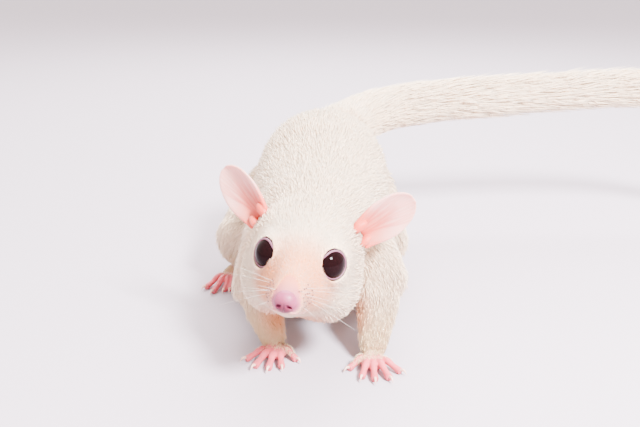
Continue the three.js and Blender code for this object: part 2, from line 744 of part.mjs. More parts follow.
// A place on or off the tail: how far along, which way round, and how far from the middle line.
function onTail(u, angle, radius) {
  const forward = tailCurve.getTangentAt(clamp(u, 0, 1));
  const side = forward.clone().cross(V(0, 0, 1)).normalize();
  const over = side.clone().cross(forward);
  const out = side.multiplyScalar(Math.cos(angle)).addScaledVector(over, Math.sin(angle));
  const middle = tailCurve.getPointAt(clamp(u, 0, 1)).addScaledVector(forward, Math.max(u - 1, 0) * tailLong);
  return { point: middle.addScaledVector(out, radius), out, forward };
}

// A seeded draw of numbers from 0 to 1.
function random(seed) {
  let state = seed;
  return () => {
    state = (state + 0x6d2b79f5) | 0;
    let t = Math.imul(state ^ (state >>> 15), 1 | state);
    t = (t + Math.imul(t ^ (t >>> 7), 61 | t)) ^ t;
    return ((t ^ (t >>> 14)) >>> 0) / 4294967296;
  };
}

// One lock: a flat blade with a ridge along its back. Its root is sunk in the core, and it rises to the
// outline of the coat.
function lock(u, angle, length, width, thick, depth, sway) {
  const sections = LOCKS.steps.map((s, i) => {
    const at = u + (s * length) / tailLong;
    const rise = (depth + LOCKS.rootDepth) * Math.sin((s * Math.PI) / 2) ** 1.2 - LOCKS.rootDepth;
    const w = (width / 2) * LOCKS.wide[i];
    const t = (thick / 2) * LOCKS.deep[i];
    const { point, out, forward } = onTail(at, angle + sway * s * s, stepped(TAIL.core, at) + rise - t);
    const across = forward.clone().cross(out);
    return [
      point.clone().addScaledVector(across, -w).addScaledVector(out, -t),
      point.clone().addScaledVector(out, t),
      point.clone().addScaledVector(across, w).addScaledVector(out, -t),
    ];
  });
  return rightWayOut(lofted(sections));
}

// The locks of the tail, ring after ring, each ring turned half a lock from the one before.
function tailCoat() {
  const draw = random(LOCKS.seed);
  const rings = Math.floor((tailLong - LOCKS.length * 0.55) / LOCKS.spacing);
  const locks = [];
  for (let ring = 0; ring <= rings; ring++)
    for (let n = 0; n < LOCKS.around; n++) {
      const u = (ring * LOCKS.spacing + (draw() - 0.5) * 3) / tailLong;
      const angle = (2 * Math.PI * (n + 0.5 * (ring % 2) + (draw() - 0.5) * 0.2)) / LOCKS.around;
      const narrow = lerp(1, LOCKS.narrowest, smoothstep(u, LOCKS.narrowFrom, 1));
      const smooth = lerp(LOCKS.depth, LOCKS.tipDepth, smoothstep(u, 0.75, 1));
      const depth = smooth + (draw() - 0.5) * 0.6;
      const length = LOCKS.length * (0.88 + 0.24 * draw());
      const sway = (draw() - 0.5) * 0.5;
      locks.push(lock(u, angle, length, LOCKS.width * narrow, LOCKS.thick, depth, sway));
    }
  return locks;
}

const corePlaces = Array.from({ length: 12 }, (_, i) => (TAIL.coreEnd * i) / 11);
const coreLine = corePlaces.map((u) => tailCurve.getPointAt(u));
const coreRadii = corePlaces.map((u) => stepped(TAIL.core, u));
const core = rightWayOut(rod(coreLine, coreRadii, TAIL.sides, TAIL.rings));
const tail = wasm.Manifold.union([core, ...tailCoat()]);
const tailCut = TAIL.cuts.map((t) => ({ point: tailCurve.getPoint(t), way: tailCurve.getTangent(t) }));
const before = (solid, cut) => beyond(solid, cut.point, cut.way.clone().negate());
const after = (solid, cut) => beyond(solid, cut.point, cut.way);
addNode("tail_base", cutBy(before(tail, tailCut[0]), trunkClear), "coat", FINEST_COAT);
addNode("tail_middle", before(after(tail, tailCut[0]), tailCut[1]), "coat", FINEST_COAT);
addNode("tail_tip", after(tail, tailCut[1]), "coat", FINEST_COAT);

// The origin is under the middle of the whole animal, on the floor.
const extent = new THREE.Box3().setFromObject(model);
const middle = extent.getCenter(V(0, 0, 0));
model.position.set(-middle.x, -middle.y, -extent.min.z);

export default model;
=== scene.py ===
"""A life-size white sugar glider on all fours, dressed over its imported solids: skin, coat, eyes, ears and paws."""

import logging
import math
from dataclasses import dataclass
from enum import Enum
from typing import Any, Callable, Sequence

import bpy
import numpy as np
from mathutils import Matrix, Vector, kdtree


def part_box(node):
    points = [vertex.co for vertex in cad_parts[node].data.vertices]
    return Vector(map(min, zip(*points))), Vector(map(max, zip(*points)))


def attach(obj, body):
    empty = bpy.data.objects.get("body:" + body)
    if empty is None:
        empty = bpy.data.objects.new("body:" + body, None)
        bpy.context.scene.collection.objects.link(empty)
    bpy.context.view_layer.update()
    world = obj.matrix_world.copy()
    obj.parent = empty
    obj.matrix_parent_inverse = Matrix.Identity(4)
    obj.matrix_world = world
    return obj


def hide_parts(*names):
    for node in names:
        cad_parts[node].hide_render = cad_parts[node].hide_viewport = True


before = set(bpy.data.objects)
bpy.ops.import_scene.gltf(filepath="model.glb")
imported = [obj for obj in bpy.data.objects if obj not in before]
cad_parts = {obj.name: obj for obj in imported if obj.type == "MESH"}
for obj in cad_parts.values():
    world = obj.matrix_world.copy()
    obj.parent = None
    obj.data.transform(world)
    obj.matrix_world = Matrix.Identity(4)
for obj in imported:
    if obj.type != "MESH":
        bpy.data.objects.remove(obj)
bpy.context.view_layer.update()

LOG = logging.getLogger("sugar_glider")
Array = np.ndarray
Material = bpy.types.Material
Object = bpy.types.Object
Point = tuple[float, float, float]

MM = 0.001
SIDES = (("left", 1.0), ("right", -1.0))
LIMB_NODES = ("upper_arm", "forearm", "thigh", "lower_leg", "membrane")
FLESH = ["head", "neck", "torso"] + [f"{name}_{side}" for name in LIMB_NODES for side, _ in SIDES]
TAIL_NODES = ["tail_base", "tail_middle", "tail_tip"]
TINT = "tint"  # Colour attribute that the skin and hair materials read.
UNWRAP = "OFBake"  # UV map on which the coat's patches sit.
DOWNWARD = (0.0, 0.0, -0.35)  # How far the trunk's hair leans down its sides.
HOLD_FADE = 2.2  # Millimetres over which a bone's hold on the hair fades.


def linear(hex_colour: int) -> tuple[float, float, float, float]:
    """Turns an sRGB hex colour into linear light.

    Args:
        hex_colour: Colour as 0xRRGGBB.

    Returns:
        Linear red, green, blue and an alpha of one.
    """
    parts = [((hex_colour >> shift) & 255) / 255 for shift in (16, 8, 0)]
    r, g, b = [c / 12.92 if c <= 0.04045 else ((c + 0.055) / 1.055) ** 2.4 for c in parts]
    return r, g, b, 1.0


def smoothstep(low: float, high: float, value: Array) -> Array:
    """Returns values eased from 0 at low to 1 at high."""
    t = np.clip((np.asarray(value) - low) / (high - low), 0, 1)
    return t * t * (3 - 2 * t)


def unit(vectors: Array) -> Array:
    """Returns vectors scaled to length one."""
    return vectors / np.maximum(np.linalg.norm(vectors, axis=-1, keepdims=True), 1e-12)


@dataclass(frozen=True)
class HeadPose:
    """Where the head sits and how it is turned, read from the places of the two eyes."""

    yaw: float = math.radians(-8)
    pitch: float = math.radians(-7)
    roll: float = math.radians(7)
    eyes_middle: Point = (0.0, 2.23, -0.49)
    place: Point = (-5.4, -8.5, 34.3)

    def turn(self) -> Matrix:
        """Returns the head's rotation in the animal's frame."""
        about_z = Matrix.Rotation(self.yaw, 4, "Z")
        return about_z @ Matrix.Rotation(self.pitch, 4, "X") @ Matrix.Rotation(self.roll, 4, "Y")

    def matrix(self) -> Matrix:
        """Finds the head between the boxes of the two packed eyes.

        Returns:
            Matrix from the head's own metres to the frame's.
        """
        middle = Vector((0, 0, 0))
        for side, _ in SIDES:
            low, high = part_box(f"eye_{side}")
            middle += (Vector(low) + Vector(high)) / 4
        rest = self.turn() @ (Vector(self.eyes_middle) * MM)
        return Matrix.Translation(middle - rest) @ self.turn()

    def origin(self) -> Vector:
        """Returns the animal's own origin, on the floor below its neck, in the frame."""
        return self.matrix().translation - Vector(self.place) * MM


POSE = HeadPose()
HEAD = POSE.matrix()
ORIGIN = POSE.origin()
HEAD_ARRAY = np.array(HEAD)
HEAD_BACK = np.array(HEAD.inverted())


def body_point(x: float, y: float, z: float) -> Vector:
    """Returns a point given in the animal's millimetres, in the frame."""
    return ORIGIN + Vector((x, y, z)) * MM


def in_head(points: Array) -> Array:
    """Returns frame points in the head's own millimetres."""
    return (points @ HEAD_BACK[:3, :3].T + HEAD_BACK[:3, 3]) / MM


def in_body(points: Array) -> Array:
    """Returns frame points in the animal's own millimetres."""
    return (points - np.array(ORIGIN)) / MM


def on_head(sign: float, local: Matrix) -> Matrix:
    """Returns the place in the frame of a piece whose own axes are given in the left side's millimetres."""
    return HEAD @ Matrix.Diagonal((sign * MM, MM, MM, 1)) @ local @ Matrix.Scale(1 / MM, 4)


def hold(distance: Array) -> Array:
    """Returns how strongly a bone rules the hair at a distance in millimetres from its surface."""
    return np.exp(-np.clip(distance, -3, 40) / HOLD_FADE)


# Small steps that every piece uses.


def only(*objects: Object) -> None:
    """Selects the given objects alone and makes the first one active.

    Args:
        *objects: Objects to select.
    """
    bpy.ops.object.select_all(action="DESELECT")
    for item in objects:
        item.select_set(True)
    bpy.context.view_layer.objects.active = objects[0]


def modified(item: Object, kind: str, **settings: Any) -> None:
    """Adds a modifier and applies it.

    Args:
        item: Object to change.
        kind: Modifier type.
        **settings: Modifier properties.
    """
    only(item)
    modifier = item.modifiers.new(kind.lower(), kind)
    for key, value in settings.items():
        setattr(modifier, key, value)
    bpy.ops.object.modifier_apply(modifier=modifier.name)


def wrapped(item: Object, voxel: float, rounds: int) -> None:
    """Wraps joined pieces in one even surface, of faces so many millimetres wide, and smooths it."""
    modified(item, "REMESH", mode="VOXEL", voxel_size=voxel * MM)
    modified(item, "SMOOTH", factor=0.5, iterations=rounds)


def edited(item: Object, *steps: tuple[Callable[..., Any], dict[str, Any]]) -> None:
    """Runs edit mode operators on all of an object.

    Args:
        item: Object to edit.
        *steps: Operators with their settings.
    """
    only(item)
    bpy.ops.object.mode_set(mode="EDIT")
    bpy.ops.mesh.select_all(action="SELECT")
    for operator, settings in steps:
        operator(**settings)
    bpy.ops.object.mode_set(mode="OBJECT")


def settled(item: Object, name: str) -> Object:
    """Puts an object's place into its mesh, smooths its shading and names it.

    Args:
        item: Object to settle.
        name: Name for the object and its mesh.

    Returns:
        The same object.
    """
    only(item)
    bpy.ops.object.transform_apply(location=True, rotation=True, scale=True)
    bpy.ops.object.shade_smooth()
    item.name = name
    item.data.name = name
    return item


def joined(name: str, items: Sequence[Object]) -> Object:
    """Joins objects into one.

    Args:
        name: Name of the joined object.
        items: Objects to join.

    Returns:
        The joined object.
    """
    only(*items)
    bpy.ops.object.join()
    whole = bpy.context.view_layer.objects.active
    whole.name = name
    return whole


def linked(name: str, mesh: bpy.types.Mesh) -> Object:
    """Puts a mesh into the scene.

    Args:
        name: Name of its object.
        mesh: The mesh.

    Returns:
        The new object.
    """
    item = bpy.data.objects.new(name, mesh)
    bpy.context.scene.collection.objects.link(item)
    return item


def copied(node: str) -> Object:
    """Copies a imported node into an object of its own, with its triangles merged.

    Args:
        node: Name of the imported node.

    Returns:
        The copy, which rides on nothing yet.
    """
    item = linked(f"copy_{node}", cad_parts[node].data.copy())
    item.data.materials.clear()
    edited(item, (bpy.ops.mesh.remove_doubles, {"threshold": 0.004 * MM}))
    return item


def read(items: Any, key: str, width: int, kind: type = float) -> Array:
    """Reads a property of all of a mesh's vertices, edges, corners or triangles.

    Args:
        items: The mesh's collection of them.
        key: Name of the property.
        width: Number of values that each one has.
        kind: Type of the values.

    Returns:
        A row for each.
    """
    flat = np.empty(len(items) * width, kind)
    items.foreach_get(key, flat)
    return flat.reshape(-1, width)


def points_of(item: Object) -> Array:
    """Returns an object's vertices as an array."""
    return read(item.data.vertices, "co", 3)


def move_points(item: Object, points: Array) -> None:
    """Sets an object's vertices from an array."""
    item.data.vertices.foreach_set("co", points.astype(np.float32).ravel())
    item.data.update()


def normals_of(item: Object) -> Array:
    """Returns an object's vertex normals as an array."""
    return read(item.data.vertex_normals, "vector", 3)


def averaged(item: Object, values: Array, rounds: int) -> Array:
    """Spreads values over a mesh by averaging each vertex with its neighbours.

    Args:
        item: Object whose edges carry the values.
        values: One row for each vertex.
        rounds: Number of averaging rounds.

    Returns:
        The smoothed values.
    """
    a, b = read(item.data.edges, "vertices", 2, np.int32).T
    size = len(values)
    share = 1 + np.bincount(a, minlength=size) + np.bincount(b, minlength=size)
    for _ in range(rounds):
        columns = []
        for column in values.T:
            total = np.bincount(a, column[b], size) + np.bincount(b, column[a], size) + column
            columns.append(total / share)
        values = np.stack(columns, axis=1)
    return values


def paint(item: Object, colours: Array) -> None:
    """Stores one linear colour for each vertex.

    Args:
        item: Object to paint.
        colours: Red, green and blue rows.
    """
    layer = item.data.color_attributes.new(TINT, "FLOAT_COLOR", "POINT")
    rows = np.concatenate([colours, np.ones((len(colours), 1))], axis=1)
    layer.data.foreach_set("color", rows.astype(np.float32).ravel())


def unwrapped(item: Object) -> None:
    """Gives a skin the unwrap that its coat's patches sit on.

    Args:
        item: Skin to unwrap.
    """
    if not item.data.uv_layers:
        item.data.uv_layers.new(name=UNWRAP)
    settings = {"angle_limit": math.radians(66), "island_margin": 0.002}
    edited(item, (bpy.ops.uv.smart_project, settings))


# Colours of the coat and skin, the same on both.


class Colour(Enum):
    """Colours of the animal, as sRGB hex values."""

    COAT = 0xFFDFBC
    PEACH = 0xFF8A1E
    OCHRE = 0xEC7C04
    CREAM = 0xFFD68C
    BARE = 0xCF5A66
    LILAC = 0x923F5F
    MAGENTA = 0x580026
    LID = 0x7D4F62
    # Painted shade inside the nostrils.
    NOSTRIL = 0x5A1F33
    # Pink lip skin, and also painted shade for the groove between the lips.
    LIP = 0xC98580
    SPOT = 0x7A4644
    WHISKER = 0xF3E9DF
    HORN = 0xDDB4A6
    EAR_RIM = 0xD5A098
    EAR_MIDDLE = 0xC46A5B
    EAR_ROOT = 0xD24A36
    VEIN = 0xB93A34

    def light(self) -> Array:
        """Returns the colour as linear red, green and blue."""
        return np.array(linear(self.value)[:3])

    def rows(self, count: int) -> Array:
        """Returns so many rows of the colour."""
        return np.repeat(self.light()[None, :], count, axis=0)


def blend(base: Array, colour: Colour, amount: Array) -> Array:
    """Returns colour rows with a share of another colour mixed over each."""
    share = np.clip(amount, 0, 1)[:, None]
    return base * (1 - share) + colour.light() * share


def near(points: Array, centre: Point, half: Point) -> Array:
    """Returns weights that fade from 1 at a centre to 0 at the surface of an ellipsoid."""
    away = np.linalg.norm((points - np.array(centre)) / np.array(half), axis=1)
    return 1 - smoothstep(0.25, 1.0, away)


def markings(points: Array) -> Array:
    """Gives the colour of skin or hair at a place.

    Args:
        points: Places in the frame.

    Returns:
        Linear colour rows.
    """
    head = in_head(points)
    body = in_body(points)
    mirrored = np.abs(head) * np.array([1, 0, 0]) + head * np.array([0, 1, 1])
    colours = Colour.COAT.rows(len(points))
    colours = blend(colours, Colour.CREAM, 0.55 * smoothstep(20, 6, body[:, 2]))
    colours = blend(colours, Colour.PEACH, 0.85 * near(mirrored, (1.5, -6, -2.5), (12, 16, 11.5)))
    colours = blend(colours, Colour.PEACH, 0.75 * near(mirrored, (6.5, -7, -6.0), (8, 11, 8)))
    colours = blend(colours, Colour.OCHRE, 0.8 * near(head, (0, 2, -18.5), (14, 13, 9)))
    colours = blend(colours, Colour.BARE, 0.22 * near(mirrored, (3.6, -12, -7.5), (6, 6, 5)))
    colours = blend(colours, Colour.OCHRE, 0.8 * near(body, (-11, 9, 13), (9, 12, 10)))
    colours = blend(colours, Colour.OCHRE, 0.8 * near(body, (8, 9, 13), (9, 12, 10)))
    return blend(colours, Colour.LID, 0.5 * smoothstep(1.0, 0.1, EYE.gap(head)[0]))


@dataclass(frozen=True)
class Snout:
    """The bare snout, wide round the nose and narrower up its bridge, in the head's own millimetres."""

    nose: Point = (0, -15.0, -7.0)
    bridge: Point = (0, -11.6, -2.6)
    radius: float = 4.4
    narrowing: float = 2.2
    fading: float = 0.4
    colour_margin: float = 0.9

    def share(self, head: Array, margin: float = 0.0) -> Array:
        """Weighs how bare the face is.

        Args:
            head: Points in the head's own millimetres.
            margin: How far the snout is widened, in millimetres.

        Returns:
            A weight from 0 to 1 for each point.
        """
        low, high = np.array(self.nose), np.array(self.bridge)
        t = np.clip((head - low) @ (high - low) / ((high - low) @ (high - low)), 0, 1)
        away = np.linalg.norm(head - low - t[:, None] * (high - low), axis=1)
        radius = self.radius - self.narrowing * t + margin
        return (1 - smoothstep(0.55 * radius, 1.25 * radius, away)) * (1 - self.fading * t)

    def hairless(self, head: Array) -> Array:
        """Returns 1 where the snout has no hair."""
        return smoothstep(0.1, 0.55, self.share(head))


SNOUT = Snout()


# Finishes.


def add_node(tree: bpy.types.NodeTree, kind: str, inputs: dict[Any, Any], **settings: Any) -> bpy.types.Node:
    """Adds a node with its settings and links.

    Args:
        tree: Node tree of a material.
        kind: Shader node type, without the word ShaderNode.
        inputs: Input sockets by name or number, each with a value or a socket to link from.
        **settings: Properties to set.

    Returns:
        The new node.
    """
    node = tree.nodes.new(f"ShaderNode{kind}")
    for key, value in settings.items():
        setattr(node, key, value)
    for key, value in inputs.items():
        if isinstance(value, bpy.types.NodeSocket):
            tree.links.new(value, node.inputs[key])
        else:
            node.inputs[key].default_value = value
    return node


@dataclass(frozen=True)
class Finish:
    """A finish with one surface shader, whose colour and bump are worked out by its kind."""

    name: str
    roughness: float
    ior: float = 1.45
    sheen: float = 0.0
    subsurface: float = 0.0
    radius: Point = (1.0, 0.4, 0.25)
    depth: float = 1.0 * MM
    coat: float = 0.0

    def material(self) -> tuple[Material, bpy.types.NodeTree, bpy.types.Node]:
        """Makes the material with its constant values set.

        Returns:
            The material, its tree and its surface shader.
        """
        material = bpy.data.materials.new(self.name)
        material.use_nodes = True
        tree = material.node_tree
        shader = tree.nodes["Principled BSDF"]
        values = {
            "Roughness": self.roughness,
            "IOR": self.ior,
            "Sheen Weight": self.sheen,
            "Subsurface Weight": self.subsurface,
            "Subsurface Radius": self.radius,
            "Subsurface Scale": self.depth,
            "Coat Weight": self.coat,
        }
        for key, value in values.items():
            shader.inputs[key].default_value = value
        return material, tree, shader

    def textured(self, grain: float, relief: float, mottle: float, mottle_size: float) -> Material:
        """Makes a material that reads the painted colour, mottles it and gives it a fine grain.

        Args:
            grain: Width of one grain of the bump, in millimetres.
            relief: Height of the bump, in millimetres.
            mottle: How much the colour varies, from 0 to 1.
            mottle_size: Width of one patch of that variation, in millimetres.

        Returns:
            The material.
        """
        material, tree, shader = self.material()
        place = add_node(tree, "TexCoord", {}).outputs["Object"]
        tint = add_node(tree, "Attribute", {}, attribute_name=TINT).outputs["Color"]
        patches = add_node(tree, "TexNoise", {"Vector": place, "Scale": 1 / (mottle_size * MM), "Detail": 3.0})
        span = {"Value": patches.outputs["Fac"], 1: 0.3, 2: 0.7, 3: 1 - mottle, 4: 1 + mottle * 0.4}
        lightness = add_node(tree, "MapRange", span)
        varied = add_node(tree, "HueSaturation", {"Color": tint, "Value": lightness.outputs["Result"]})
        tree.links.new(varied.outputs["Color"], shader.inputs["Base Color"])
        if relief:
            grains = add_node(tree, "TexNoise", {"Vector": place, "Scale": 1 / (grain * MM), "Detail": 4.0})
            height = {"Height": grains.outputs["Fac"], "Distance": relief * MM, "Strength": 0.8}
            tree.links.new(add_node(tree, "Bump", height).outputs["Normal"], shader.inputs["Normal"])
        return material


# Guard hair without pigment: a dull keratin thread whose edges catch the light, so the coat looks soft.
HAIR = Finish(
    "unpigmented guard hair", roughness=0.72, sheen=0.2, subsurface=0.3, depth=2.0 * MM, radius=(1.0, 0.85, 0.7)
)
# Skin under the coat: the same unpigmented skin, dull and as pale as the coat it carries.
HAIRED_SKIN = Finish("haired pale skin", roughness=0.6, ior=1.4, subsurface=0.1)
# Bare skin: thin and unpigmented, so blood shows through and light spreads a little inside it.
SKIN = Finish("bare unpigmented skin", roughness=0.5, ior=1.4, subsurface=0.25, depth=0.8 * MM)
# Moist skin of the nose: as the skin, with a thin wet film.
WET_SKIN = Finish("moist nose skin", roughness=0.42, ior=1.38, subsurface=0.3, depth=0.9 * MM, coat=0.08)
# Ear skin: so thin that light passes through it, with a dull dry surface.
EAR_SKIN = Finish("thin ear skin", roughness=0.5, ior=1.4, sheen=0.1, subsurface=0.6, depth=1.8 * MM)
# Claw horn: pale translucent keratin, polished by wear.
CLAW = Finish("claw keratin", roughness=0.28, ior=1.55, subsurface=0.3, depth=0.5 * MM)
# Lid margin: moist pigmented skin at the edge of the eye.
LID = Finish("lid margin skin", roughness=0.36, ior=1.4, subsurface=0.15, depth=0.5 * MM)
# Clear cornea: so smooth and wet that it gives the dark eye its sharp glint.
CORNEA = Finish("wet cornea over a dark iris", roughness=0.03, ior=1.12)
# Backdrop: matt paper without gloss, so that the floor stays plain.
PAPER = Finish("matt paper backdrop", roughness=0.9)


@dataclass(frozen=True)
class EyeFinish:
    """Dark eye: a brown iris and a wide pupil under the cornea, so almost black."""

    iris: int = 0x180709
    pupil: int = 0x070203
    fibre: float = 0.5

    def material(self) -> Material:
        """Makes the material, with faint fibres between the colours of pupil and iris.

        Returns:
            The material.
        """
        material, tree, shader = CORNEA.material()
        place = add_node(tree, "TexCoord", {}).outputs["Object"]
        fibres = add_node(tree, "TexNoise", {"Vector": place, "Scale": 1 / (self.fibre * MM)}).outputs["Fac"]
        colours = {0: fibres, 6: linear(self.pupil), 7: linear(self.iris)}
        mixed = add_node(tree, "Mix", colours, data_type="RGBA")
        tree.links.new(mixed.outputs[2], shader.inputs["Base Color"])
        return material


# Coat.


class Layer(Enum):
    """Layers of the coat."""

    UNDER = "short fine fur"
    GUARD = "longer guard hair"
    TAIL = "the tail's long hair"


@dataclass
class CoatField:
    """What the coat does at each vertex of a skin."""

    lie: Array
    length: Array
    width: Array
    lift: Array
    density: Array
    tint: Array


@dataclass
class Coat:
    """Tufts of hair as thin closed blades over a skin, in pieces of a size that the export takes."""

    name: str
    seed: int
    bent: bool = False
    clump: float = 1.2
    pull: float = 0.22
    stray: float = 0.13
    spread: float = 0.38
    lengths: tuple[float, float] = (0.72, 1.15)
    widths: tuple[float, float] = (0.8, 1.2)
    tints: tuple[float, float] = (0.95, 1.02)
    # Painted shade and light: each blade is darker at the root, where the hairs shade each other, and lighter at the
    # tip.
    painted_root_shade: tuple[float, float] = (0.93, 1.03)
    sink: float = 0.1
    ridge: float = 0.4
    tufts_to_a_clump: int = 9
    piece_triangles: int = 195000
    patch: float = 0.003

    def faces(self) -> list[tuple[int, int, int]]:
        """Lists the triangles of one blade: its root, its three sides and its tip.

        Returns:
            Vertex numbers, wound so that they face outward.
        """
        rings = 2 if self.bent else 1
        found = [(0, 1, 2)]
        for ring in range(rings - 1):
            for j in range(3):
                a, b = 3 * ring + j, 3 * ring + (j + 1) % 3
                found += [(a, a + 3, b + 3), (a, b + 3, b)]
        top = 3 * (rings - 1)
        return found + [(top + j, top + 3, top + (j + 1) % 3) for j in range(3)]

    def grow(self, skin: Object, field: CoatField, material: Material) -> None:
        """Roots the tufts on the skin and makes the coat's pieces.

        Args:
            skin: Skin that carries the coat.
            field: The coat's values at the skin's vertices.
            material: Hair material.
        """
        rng = np.random.default_rng(self.seed)
        skin.data.calc_loop_triangles()
        corners, loops = (read(skin.data.loop_triangles, key, 3, np.int32) for key in ("vertices", "loops"))
        points = points_of(skin)
        a, b, c = (points[corners[:, i]] for i in range(3))
        area = np.linalg.norm(np.cross(b - a, c - a), axis=1) / 2 / MM**2
        total = np.cumsum(area * field.density[corners].mean(axis=1))
        count = int(total[-1])
        pick = np.searchsorted(total, (np.arange(count) + rng.random(count)) / count * total[-1])
        pick = np.minimum(pick, len(corners) - 1)
        u = rng.random((count, 2))
        u = np.where(u.sum(axis=1, keepdims=True) > 1, 1 - u, u)
        share = np.stack([1 - u.sum(axis=1), u[:, 0], u[:, 1]], axis=1)

        def at(values: Array) -> Array:
            """Returns vertex values at the roots."""
            return np.einsum("ni,ni...->n...", share, values[corners[pick]])

        roots = at(points)
        normal = unit(at(normals_of(skin)))
        lie = at(field.lie)
        lie = unit(lie - normal * np.sum(lie * normal, axis=1, keepdims=True))
        lie = unit(lie + np.cross(normal, lie) * rng.normal(0, self.stray, count)[:, None])
        side = np.cross(normal, lie)
        length = (at(field.length[:, None])[:, 0] * rng.uniform(*self.lengths, count))[:, None]
        width = at(field.width[:, None])[:, 0] * rng.uniform(*self.widths, count)
        lift = (at(field.lift[:, None])[:, 0] * rng.uniform(1 - self.spread, 1 + self.spread, count))[:, None]
        # A blade rises steeply up to its middle and lies over towards its tip.
        middle = roots + length * 0.5 * (lie * np.cos(lift * 1.25) + normal * np.sin(lift * 1.25))
        tip = roots + length * (lie * np.cos(lift * 0.75) + normal * np.sin(lift * 0.75))
        tip, middle = self.clumped(roots, middle, tip, rng)
        uv = read(skin.data.uv_layers[UNWRAP].data, "uv", 2, np.float32)
        root_uv = np.einsum("ni,nij->nj", share, uv[loops[pick]])
        tint = at(field.tint) * rng.uniform(*self.tints, (count, 1))
        sunk = roots - normal * self.sink * MM
        pieces = math.ceil(count * len(self.faces()) / self.piece_triangles)
        values = (sunk, middle, tip, side, normal, width, tint, root_uv)
        for number in range(pieces):
            chosen = slice(number, None, pieces)
            piece = self.blades(f"{self.name}_{number + 1}", *(v[chosen] for v in values))
            dressed(piece, material)
        LOG.info("%s: %d tufts in %d pieces", self.name, count, pieces)

    def clumped(
        self, roots: Array, middle: Array, tip: Array, rng: np.random.Generator
    ) -> tuple[Array, Array]:
        """Draws the tips of neighbouring tufts together.

        Args:
            roots: Root places.
            middle: Places half way.
            tip: Tip places.
            rng: Source of the draw.

        Returns:
            The new tips and middles.
        """
        leaders = rng.choice(len(roots), max(int(len(roots) / self.tufts_to_a_clump), 1), replace=False)
        tree = kdtree.KDTree(len(leaders))
        for place, leader in enumerate(leaders):
            tree.insert(roots[leader], place)
        tree.balance()
        own = leaders[[tree.find(root)[1] for root in roots]]
        gap = np.linalg.norm(roots - roots[own], axis=1, keepdims=True)
        pull = self.pull * (1 - smoothstep(self.clump * MM, 2.5 * self.clump * MM, gap))
        shift = tip[own] - tip
        return tip + shift * pull, middle + shift * pull * 0.3

    def blades(
        self,
        name: str,
        roots: Array,
        middle: Array,
        tip: Array,
        side: Array,
        normal: Array,
        width: Array,
        tint: Array,
        root_uv: Array,
    ) -> Object:
        """Makes one piece of the coat from arrays.

        Args:
            name: Name of the piece.
            roots: Root places.
            middle: Places half way along.
            tip: Tip places.
            side: Directions across each blade.
            normal: Directions away from the skin.
            width: Blade widths.
            tint: Linear colour of each blade.
            root_uv: Place of each root on the skin's unwrap.

        Returns:
            The new object.
        """
        half = side * width[:, None] / 2
        rise = normal * width[:, None] * self.ridge
        levels = [(roots, 0.85), (middle, 1.0)] if self.bent else [(roots, 1.0)]
        rings = [p + way * size for p, size in levels for way in (-half, rise, half)] + [tip]
        vertices = np.stack(rings, axis=1).reshape(-1, 3)
        each, count = len(rings), len(roots)
        faces = (np.array(self.faces())[None, :, :] + each * np.arange(count)[:, None, None]).reshape(-1, 3)
        mesh = bpy.data.meshes.new(name)
        mesh.vertices.add(len(vertices))
        mesh.vertices.foreach_set("co", vertices.astype(np.float32).ravel())
        mesh.loops.add(len(faces) * 3)
        mesh.loops.foreach_set("vertex_index", faces.astype(np.int32).ravel())
        mesh.polygons.add(len(faces))
        mesh.polygons.foreach_set("loop_start", np.arange(0, len(faces) * 3, 3, dtype=np.int32))
        mesh.polygons.foreach_set("use_smooth", np.ones(len(faces), bool))
        mesh.update(calc_edges=True)
        shares = np.linspace(-1, 1, each // 3 + 1)
        corner = np.array([(x, y) for y in shares[:-1] for x in (-1, 0, 1)] + [(0, 1)]) * self.patch / 2
        spread = (root_uv[:, None, :] + corner[None, :, :]).reshape(-1, 2)
        layer = mesh.uv_layers.new(name=UNWRAP)
        layer.data.foreach_set("uv", spread[faces.ravel()].astype(np.float32).ravel())
        item = linked(name, mesh)
        # Painted shade: the blade's colour is darkened towards its root and lightened towards its tip.
        shade = np.repeat(np.linspace(*self.painted_root_shade, each // 3 + 1), [3] * (each // 3) + [1])
        paint(item, (tint[:, None, :] * shade[None, :, None]).reshape(-1, 3).clip(0, 1))
        return item


def rod(name: str, line: Sequence[Vector], radii: Sequence[float], roundness: int = 2) -> Object:
    """Draws a round bar along a line as a bevelled path and turns it into a mesh.

    Args:
        name: Name of the bar.
        line: Places along it, at least five.
        radii: Radius at each place, in millimetres.
        roundness: Bevel steps in a quarter of its section.

    Returns:
        The closed bar.
    """
    bpy.ops.curve.primitive_nurbs_path_add(location=(0, 0, 0))
    path = bpy.context.object
    spline = path.data.splines[0]
    spline.points.add(len(line) - len(spline.points))
    for point, place, radius in zip(spline.points, line, radii):
        point.co = (*place, 1)
        point.radius = radius
    spline.order_u = 3
    spline.use_endpoint_u = True
    spline.resolution_u = 4
    path.data.dimensions = "3D"
    path.data.bevel_depth = MM
    path.data.bevel_resolution = roundness
    path.data.use_fill_caps = True
    bpy.ops.object.convert(target="MESH")
    merge = (bpy.ops.mesh.remove_doubles, {"threshold": 0.002 * MM})
    edited(path, merge, (bpy.ops.mesh.normals_make_consistent, {"inside": False}))
    return settled(path, name)


def stepped(line: Sequence[Vector], values: Sequence[float], count: int) -> tuple[list[Vector], list[float]]:
    """Fills a short line up with evenly spaced places.

    Args:
        line: Few places.
        values: A value at each of them.
        count: Number of places wanted.

    Returns:
        The places and the values at them.
    """
    at = np.linspace(0, len(line) - 1, count)
    known = np.arange(len(line))
    table = np.array([[*place] for place in line])
    places = [Vector([float(np.interp(t, known, table[:, axis])) for axis in range(3)]) for t in at]
    return places, [float(np.interp(t, known, values)) for t in at]


def ball(name: str, half: Point, segments: int, rings: int) -> Object:
    """Adds an ellipsoid at the origin.

    Args:
        name: Name of the piece.
        half: Half sizes in millimetres.
        segments: Segments round it.
        rings: Rings from pole to pole.

    Returns:
        The ellipsoid.
    """
    bpy.ops.mesh.primitive_uv_sphere_add(segments=segments, ring_count=rings, radius=1, location=(0, 0, 0))
    bpy.ops.transform.resize(value=tuple(size * MM for size in half))
    return settled(bpy.context.object, name)


